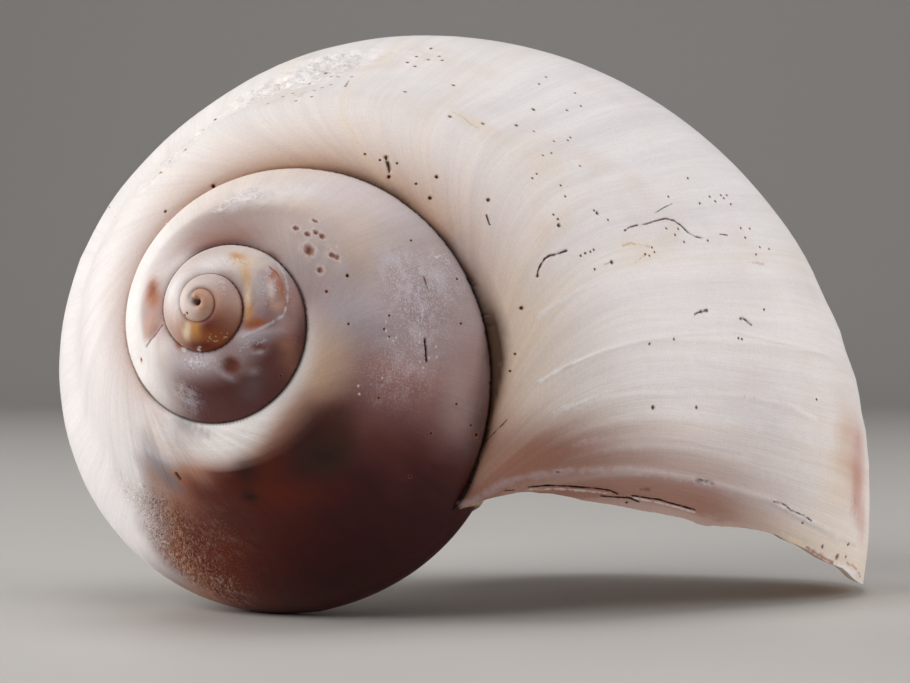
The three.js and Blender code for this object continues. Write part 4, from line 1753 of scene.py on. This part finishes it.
@dataclass(frozen=True)
class Finish:
    """The wall's material: colour, streaks along the growth lines, frost, beads with painted glints, and
    gloss.
    """

    roughness: float = 0.42
    streak: float = 0.075
    dust: float = 0.2
    coat: float = 0.03
    specular: float = 0.17
    coat_roughness: float = 0.22

    def material(self) -> bpy.types.Material:
        """Builds the material from the colours and amounts that the mesh carries."""
        made = bpy.data.materials.new("shell_wall")
        made.use_nodes = True
        nodes = Nodes(made.node_tree)
        shader = made.node_tree.nodes["Principled BSDF"]
        tone = nodes.attribute("tone", "Color")
        flow = nodes.attribute("flow", "Vector")
        amounts = nodes.add("ShaderNodeSeparateXYZ")
        nodes.put(amounts.inputs[0], nodes.attribute("amounts", "Vector"))
        frost, beads, lines = amounts.outputs
        broad = nodes.noise(nodes.scaled(flow, (0.6, 0.04, 0.04)), 4.0)
        fine = nodes.noise(nodes.scaled(flow, (3.0, 0.15, 0.15)), 3.0)
        hair = nodes.noise(nodes.scaled(flow, (9.0, 0.5, 0.5)), 2.0)
        place = nodes.add("ShaderNodeTexCoord").outputs["Object"]
        speck = nodes.noise(nodes.scaled(place, (5000.0, 5000.0, 5000.0)), 2.0)
        grain = nodes.noise(nodes.scaled(place, (9000.0, 9000.0, 9000.0)), 1.0)
        grit = nodes.noise(nodes.scaled(flow, (8.0, 4.5, 4.5)), 1.0)
        spiral = nodes.noise(nodes.scaled(flow, (0.5, 6.0, 6.0)), 1.0)
        both = nodes.math("ADD", nodes.math("MULTIPLY", broad, 0.45), nodes.math("MULTIPLY", fine, 0.3))
        both = nodes.math("ADD", both, nodes.math("MULTIPLY", hair, 0.15))
        both = nodes.math("ADD", both, nodes.math("MULTIPLY", spiral, 0.15))
        swing = nodes.math("MULTIPLY", nodes.math("SUBTRACT", both, 0.5), nodes.math("MULTIPLY", lines, 6.0 * self.streak))
        dust = nodes.math("MULTIPLY", nodes.math("SUBTRACT", speck, 0.5), self.dust)
        shade = nodes.math("ADD", nodes.math("ADD", 1.0, swing), dust)
        grey = nodes.add("ShaderNodeCombineXYZ")
        for socket in grey.inputs:
            nodes.put(socket, shade)
        colour = nodes.mix(1.0, tone, grey.outputs[0], "MULTIPLY")
        frosted = nodes.math("MULTIPLY", frost, nodes.span(speck, 0.5, 0.66, 0.0, 0.85))
        colour = nodes.mix(frosted, colour, (*Tone.LAVENDER.light(), 1.0))
        flakes = nodes.attribute("flakes", "Fac")
        chip = nodes.noise(nodes.scaled(place, (2400.0, 2400.0, 2400.0)), 3.0)
        chipped = nodes.span(nodes.math("ADD", chip, flakes), 0.93, 1.0, 0.0, 1.0)
        shown = nodes.math("MULTIPLY", chipped, 0.45)
        colour = nodes.mix(shown, colour, nodes.attribute("flake_tone", "Color"))
        gap = nodes.math("MULTIPLY", beads, nodes.span(grit, 0.5, 0.38, 0.0, 0.7))
        colour = nodes.mix(gap, colour, (*Tone.RUST.light(), 1.0))
        # Painted glints (HONEY) on the bead tops.
        glint = nodes.math("MULTIPLY", beads, nodes.span(grit, 0.57, 0.7, 0.0, 0.6))
        colour = nodes.mix(glint, colour, (*Tone.HONEY.light(), 1.0))
        nodes.put(shader.inputs["Base Color"], colour)
        rough = nodes.math("ADD", self.roughness, nodes.math("MULTIPLY", frost, 0.25))
        nodes.put(shader.inputs["Roughness"], rough)
        shader.inputs["Specular IOR Level"].default_value = self.specular
        shader.inputs["Coat Weight"].default_value = self.coat
        shader.inputs["Coat Roughness"].default_value = self.coat_roughness
        lift = nodes.math("MULTIPLY", nodes.math("MULTIPLY", fine, lines), 0.03)
        lift = nodes.math("ADD", lift, nodes.math("MULTIPLY", nodes.math("MULTIPLY", hair, lines), 0.018))
        lift = nodes.math("ADD", lift, nodes.math("MULTIPLY", grain, 0.004))
        lift = nodes.math("ADD", lift, nodes.math("MULTIPLY", nodes.math("MULTIPLY", grit, beads), 0.16))
        lift = nodes.math("ADD", lift, nodes.math("MULTIPLY", nodes.math("MULTIPLY", speck, frost), 0.05))
        lift = nodes.math("ADD", lift, nodes.math("MULTIPLY", speck, 0.008))
        lift = nodes.math("ADD", lift, nodes.math("MULTIPLY", chipped, 0.05))
        bump = nodes.add("ShaderNodeBump")
        nodes.put(bump.inputs["Strength"], 1.0)
        nodes.put(bump.inputs["Distance"], METRE)
        nodes.put(bump.inputs["Height"], lift)
        nodes.put(shader.inputs["Normal"], bump.outputs[0])
        return made


@dataclass(frozen=True)
class Studio:
    """The pale floor and the soft lights, none of which is part of the shell."""

    floor_colour: tuple[float, float, float] = (0.58, 0.56, 0.54)
    floor_half: float = 1.6

    def floor(self, height: float) -> bpy.types.Object:
        """A wide floor that rises into a backdrop: a flat grid bent up by a quarter circle.

        Args:
            height: The floor's height in metres.

        Returns:
            The floor, marked as stage.
        """
        depth = np.linspace(-self.floor_half, 2.6, 60)
        bend_at = 0.9
        bend_radius = 0.5
        angle = np.clip((depth - bend_at) / bend_radius, 0.0, math.pi / 2)
        up_wall = np.maximum(0.0, depth - bend_at - bend_radius * math.pi / 2)
        along = np.minimum(depth, bend_at) + bend_radius * np.sin(angle)
        rise = bend_radius * (1.0 - np.cos(angle)) + up_wall
        across = np.linspace(-2.4, 2.4, 9)
        grid = np.zeros((len(depth), len(across), 3))
        grid[..., 0] = across[None]
        grid[..., 1] = along[:, None]
        grid[..., 2] = rise[:, None] + height
        index = np.arange(grid.shape[0] * grid.shape[1]).reshape(grid.shape[:2])
        corners = [index[:-1, :-1], index[:-1, 1:], index[1:, 1:], index[1:, :-1]]
        mesh = bpy.data.meshes.new("floor")
        mesh.from_pydata(grid.reshape(-1, 3).tolist(), [], np.stack(corners, -1).reshape(-1, 4).tolist())
        mesh.shade_smooth()
        material = bpy.data.materials.new("floor_paper")
        material.use_nodes = True
        shader = material.node_tree.nodes["Principled BSDF"]
        shader.inputs["Base Color"].default_value = (*self.floor_colour, 1.0)
        shader.inputs["Roughness"].default_value = 0.6
        mesh.materials.append(material)
        made = bpy.data.objects.new("floor", mesh)
        bpy.context.scene.collection.objects.link(made)
        made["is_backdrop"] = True
        return made

    def light(self, name: str, place: tuple, size: float, power: float, colour: tuple) -> None:
        """A square soft light aimed at the shell.

        Args:
            name: The light's name.
            place: Where it hangs, in metres.
            size: Its side, in metres.
            power: Its power in watts.
            colour: Its colour.
        """
        data = bpy.data.lights.new(name, "AREA")
        data.size = size
        data.energy = power
        data.color = colour
        made = bpy.data.objects.new(name, data)
        made.location = place
        aim = Vector((0.0, 0.0, 0.035)) - Vector(place)
        made.rotation_euler = aim.to_track_quat("-Z", "Y").to_euler()
        bpy.context.scene.collection.objects.link(made)

    def build(self, height: float) -> None:
        """Makes the floor, the lights and the even grey surroundings."""
        self.floor(height)
        self.light("back_left", (-0.75, 0.25, 0.2), 0.5, 2.5, (1.0, 0.99, 0.97))
        self.light("front_left", (-0.6, -0.45, 0.45), 0.5, 4.4, (1.0, 0.98, 0.96))
        self.light("top", (-0.05, -0.05, 0.85), 0.6, 2.4, (1.0, 0.99, 0.99))
        self.light("right", (0.85, 0.0, 0.25), 0.6, 4.8, (1.0, 0.97, 0.96))
        world = bpy.data.worlds.new("surroundings")
        world.use_nodes = True
        background = world.node_tree.nodes["Background"]
        background.inputs["Color"].default_value = (1.0, 1.0, 1.0, 1.0)
        background.inputs["Strength"].default_value = 0.08
        bpy.context.scene.world = world
        bpy.context.scene.view_settings.view_transform = "Standard"


@dataclass
class Shell:
    """The finished shell: its solid, the wear on it and its colours."""

    solid: ShellSolid = field(default_factory=ShellSolid)
    stance: Stance = field(default_factory=Stance)
    viewpoint: Viewpoint = field(default_factory=Viewpoint)
    wear: Wear = field(default_factory=Wear)
    finish: Finish = field(default_factory=Finish)
    most_faces: int = 198_500
    rounds: int = 6

    def build(self) -> bpy.types.Object:
        """Builds the shell and gives it its place, body, slot and material."""
        mesh = self.solid.mesh()
        chart = Chart(self.solid.coil, self.solid.lip, self.solid.wall)
        LOG.info("solid: %d faces", len(mesh.polygons))
        points = self.points(mesh)
        finder = Finder(points, self.triangles(mesh), self.stance, self.viewpoint, chart)
        marks = Marks(finder, self.wear)
        self.refine(mesh, chart, marks)
        LOG.info("refined: %d faces", len(mesh.polygons))
        smooth = self.smoothed(mesh, chart)
        cover, colour = self.carve(mesh, smooth, chart, marks)
        self.colour(mesh, smooth, chart, marks, cover, colour)
        ground = self.stance.to_ground(self.points(mesh)) * METRE
        mesh.vertices.foreach_set("co", ground.astype(np.float32).ravel())
        mesh.update()
        mesh.shade_smooth()
        mesh.set_sharp_from_angle(angle=math.radians(55.0))
        mesh.materials.clear()
        mesh.materials.append(self.finish.material())
        made = bpy.data.objects.new("shell_worn", mesh)
        bpy.context.scene.collection.objects.link(made)
        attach(made, "root")
        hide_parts("shell")
        return made

    def points(self, mesh: bpy.types.Mesh) -> Array:
        """The mesh's points, in millimetres."""
        points = np.empty(len(mesh.vertices) * 3, np.float32)
        mesh.vertices.foreach_get("co", points)
        return points.reshape(-1, 3).astype(float) / METRE

    def triangles(self, mesh: bpy.types.Mesh) -> Array:
        """The points of each triangle."""
        corners = np.empty(len(mesh.loops), np.int32)
        mesh.loops.foreach_get("vertex_index", corners)
        return corners.reshape(-1, 3)

    def wanted(self, points: Array, chart: Chart, marks: Marks) -> Array:
        """Wanted edge lengths in millimetres: fine at marks, sutures, beads, scales and the lip.

        Args:
            points: Points in the shell's own frame.
            chart: Finds their places.
            marks: The marks.

        Returns:
            Lengths; 9 where the mesh is fine enough.
        """
        places = chart.locate(points)
        ground = self.stance.to_ground(points)
        size = np.full(len(points), 9.0)
        seam = np.where(places.to_suture() < 0.9, 0.22 + 0.5 * places.to_suture(), 9.0)
        size = np.where(places.turn > -3.3, np.minimum(size, seam), size)
        beaded = sum(laid.cover(ground, places.turn) for laid in marks.lay(self.wear.beaded))
        size = np.where(beaded > 0.3, np.minimum(size, 0.2), size)
        eroded = sum(laid.cover(ground, places.turn) for laid in marks.lay(self.wear.eroded))
        size = np.where(eroded > 0.3, np.minimum(size, 0.42), size)
        crisp = sum(laid.cover(ground, places.turn) for laid in marks.lay(self.wear.crisp))
        size = np.where(crisp > 0.4, np.minimum(size, 0.38), size)
        out = np.hypot(points[:, 0], points[:, 1])
        behind = (chart.lip.turn(places.around) - places.turn) * 2.0 * np.pi * out
        size = np.where(behind < 0.8, np.minimum(size, 0.3), size)
        size = np.where(places.outside(), np.minimum(size, marks.grain(points)), size)
        return np.where(places.outside() | (behind < 0.8), size, 9.0)

    def refine(self, mesh: bpy.types.Mesh, chart: Chart, marks: Marks) -> None:
        """Halves the edges that are longer than wanted, round after round."""
        for _ in range(self.rounds):
            points = self.points(mesh)
            ends = np.empty(len(mesh.edges) * 2, np.int32)
            mesh.edges.foreach_get("vertices", ends)
            ends = ends.reshape(-1, 2)
            wanted = self.wanted(points, chart, marks)[ends].mean(1)
            length = np.linalg.norm(points[ends[:, 0]] - points[ends[:, 1]], axis=1)
            long = np.flatnonzero(length > 1.4 * wanted)
            room = (self.most_faces - len(mesh.polygons)) // 3
            if len(long) > room:
                LOG.info("edges still long: %d", len(long) - room)
                long = long[np.argsort(wanted[long], kind="stable")[: max(0, room)]]
            if len(long) == 0:
                break
            work = bmesh.new()
            work.from_mesh(mesh)
            work.edges.ensure_lookup_table()
            bmesh.ops.subdivide_edges(work, edges=[work.edges[i] for i in long], cuts=1)
            bmesh.ops.triangulate(work, faces=[face for face in work.faces if len(face.verts) > 3])
            work.to_mesh(mesh)
            work.free()

    def normals(self, mesh: bpy.types.Mesh) -> Array:
        """Outward directions at the mesh's points."""
        mesh.update()
        normals = np.empty(len(mesh.vertices) * 3, np.float32)
        mesh.vertex_normals.foreach_get("vector", normals)
        return normals.reshape(-1, 3).astype(float)

    def smoothed(self, mesh: bpy.types.Mesh, chart: Chart) -> Array:
        """The mesh's points, with those halfway along old edges laid on the exact surface."""
        points = self.points(mesh)
        places = chart.locate(points)
        stray = (np.abs(places.off) < 0.05) & (places.to_suture() > 0.3) & places.outside()
        stray &= chart.lip.turn(places.around) - places.turn > 0.002
        return points - self.normals(mesh) * (places.off * stray)[:, None]

    def carve(self, mesh: bpy.types.Mesh, points: Array, chart: Chart, marks: Marks) -> tuple[Array, Array]:
        """Moves the mesh's points by the relief.

        Args:
            mesh: The mesh, in the shell's own frame.
            points: Its points on the exact surface, in millimetres.
            chart: Finds the points' places.
            marks: The marks.

        Returns:
            Cover and colour of the marks at each point.
        """
        places = chart.locate(points)
        normals = self.normals(mesh)
        depth, cover, colour = marks.sink(points)
        ground = self.stance.to_ground(points)
        sums = []
        for areas in (self.wear.eroded, self.wear.beaded, self.wear.dents):
            sums.append(sum(laid.cover(ground, places.turn) for laid in marks.lay(areas)))
        relief = Relief(chart)
        height = relief.height(places, points, *sums) - depth
        height *= places.outside()
        ahead = chart.coil.place(places.turn + 1e-3, places.around, np.zeros(len(points)))
        ahead -= chart.coil.place(places.turn, places.around, np.zeros(len(points)))
        ahead /= np.linalg.norm(ahead, axis=1, keepdims=True)
        moved = points + normals * height[:, None] - ahead * relief.nibbled(places, points)[:, None]
        mesh.vertices.foreach_set("co", (moved * METRE).astype(np.float32).ravel())
        mesh.update()
        return cover * places.outside(), colour

    def colour(
        self, mesh: bpy.types.Mesh, points: Array, chart: Chart, marks: Marks, cover: Array, colour: Array
    ) -> None:
        """Gives the mesh's corners their colours, growth coordinates and amounts of wear."""
        triangles = self.triangles(mesh)
        corner = triangles.ravel()
        face = np.repeat(np.arange(len(triangles)), 3)
        places = chart.corners(points[triangles].mean(1), points[corner], face)
        ground = self.stance.to_ground(points[corner])
        sums = []
        for areas in (self.wear.frosted, self.wear.beaded, self.wear.soiled_and_shaded, self.wear.ribbed):
            sums.append(sum(laid.cover(ground, places.turn) for laid in marks.lay(areas)))
        flakes = np.zeros(len(ground))
        flake_tone = np.ones((len(ground), 4))
        for laid in marks.lay(self.wear.flaked):
            strength = laid.cover(ground, places.turn)
            flake_tone[strength > flakes, :3] = laid.area.tone.light()
            flakes = np.maximum(flakes, strength)
        painter = Painter(chart, Relief(chart))
        beaded = np.clip(sums[1], 0.0, 1.0)
        soiled_and_shaded = np.clip(sums[2], 0.0, 3.0)
        frosted = np.clip(sums[0], 0.0, 1.0)
        tone = painter.outside(places, ground, marks.lay(self.wear.stains_and_painted_light), frosted, beaded, soiled_and_shaded)
        tone = blended(tone, colour[corner], cover[corner])
        tone = np.where(places.outside()[:, None], tone, painter.inside(places))
        lines = ramp(places.to_suture(), 0.0, 0.8) * (1.0 + 1.6 * np.clip(sums[3], 0.0, 1.0))
        lines = np.where(places.outside(), lines, 0.3)
        amounts = np.stack([np.clip(sums[0], 0, 1), np.clip(sums[1], 0, 1), lines], -1)
        rows = (
            ("tone", "FLOAT_COLOR", "color", np.concatenate([tone, np.ones((len(tone), 1))], 1)),
            ("flow", "FLOAT_VECTOR", "vector", chart.flow(places)),
            ("amounts", "FLOAT_VECTOR", "vector", amounts),
            ("flakes", "FLOAT", "value", flakes * places.outside()),
            ("flake_tone", "FLOAT_COLOR", "color", flake_tone),
        )
        for name, kind, key, values in rows:
            made = mesh.attributes.new(name, kind, "CORNER")
            made.data.foreach_set(key, values.astype(np.float32).ravel())


def main() -> None:
    """Builds the shell, the studio and the camera."""
    logging.basicConfig(level=logging.INFO, format="%(name)s: %(message)s")
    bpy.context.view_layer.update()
    shell = Shell()
    piece = shell.build()
    LOG.info("%s: %d vertices, %d faces", piece.name, len(piece.data.vertices), len(piece.data.polygons))
    shell.viewpoint.camera(shell.stance)
    visual_box = [list(corner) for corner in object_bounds()]
    Studio().build(visual_box[0][2])


if __name__ == "__main__":
    main()
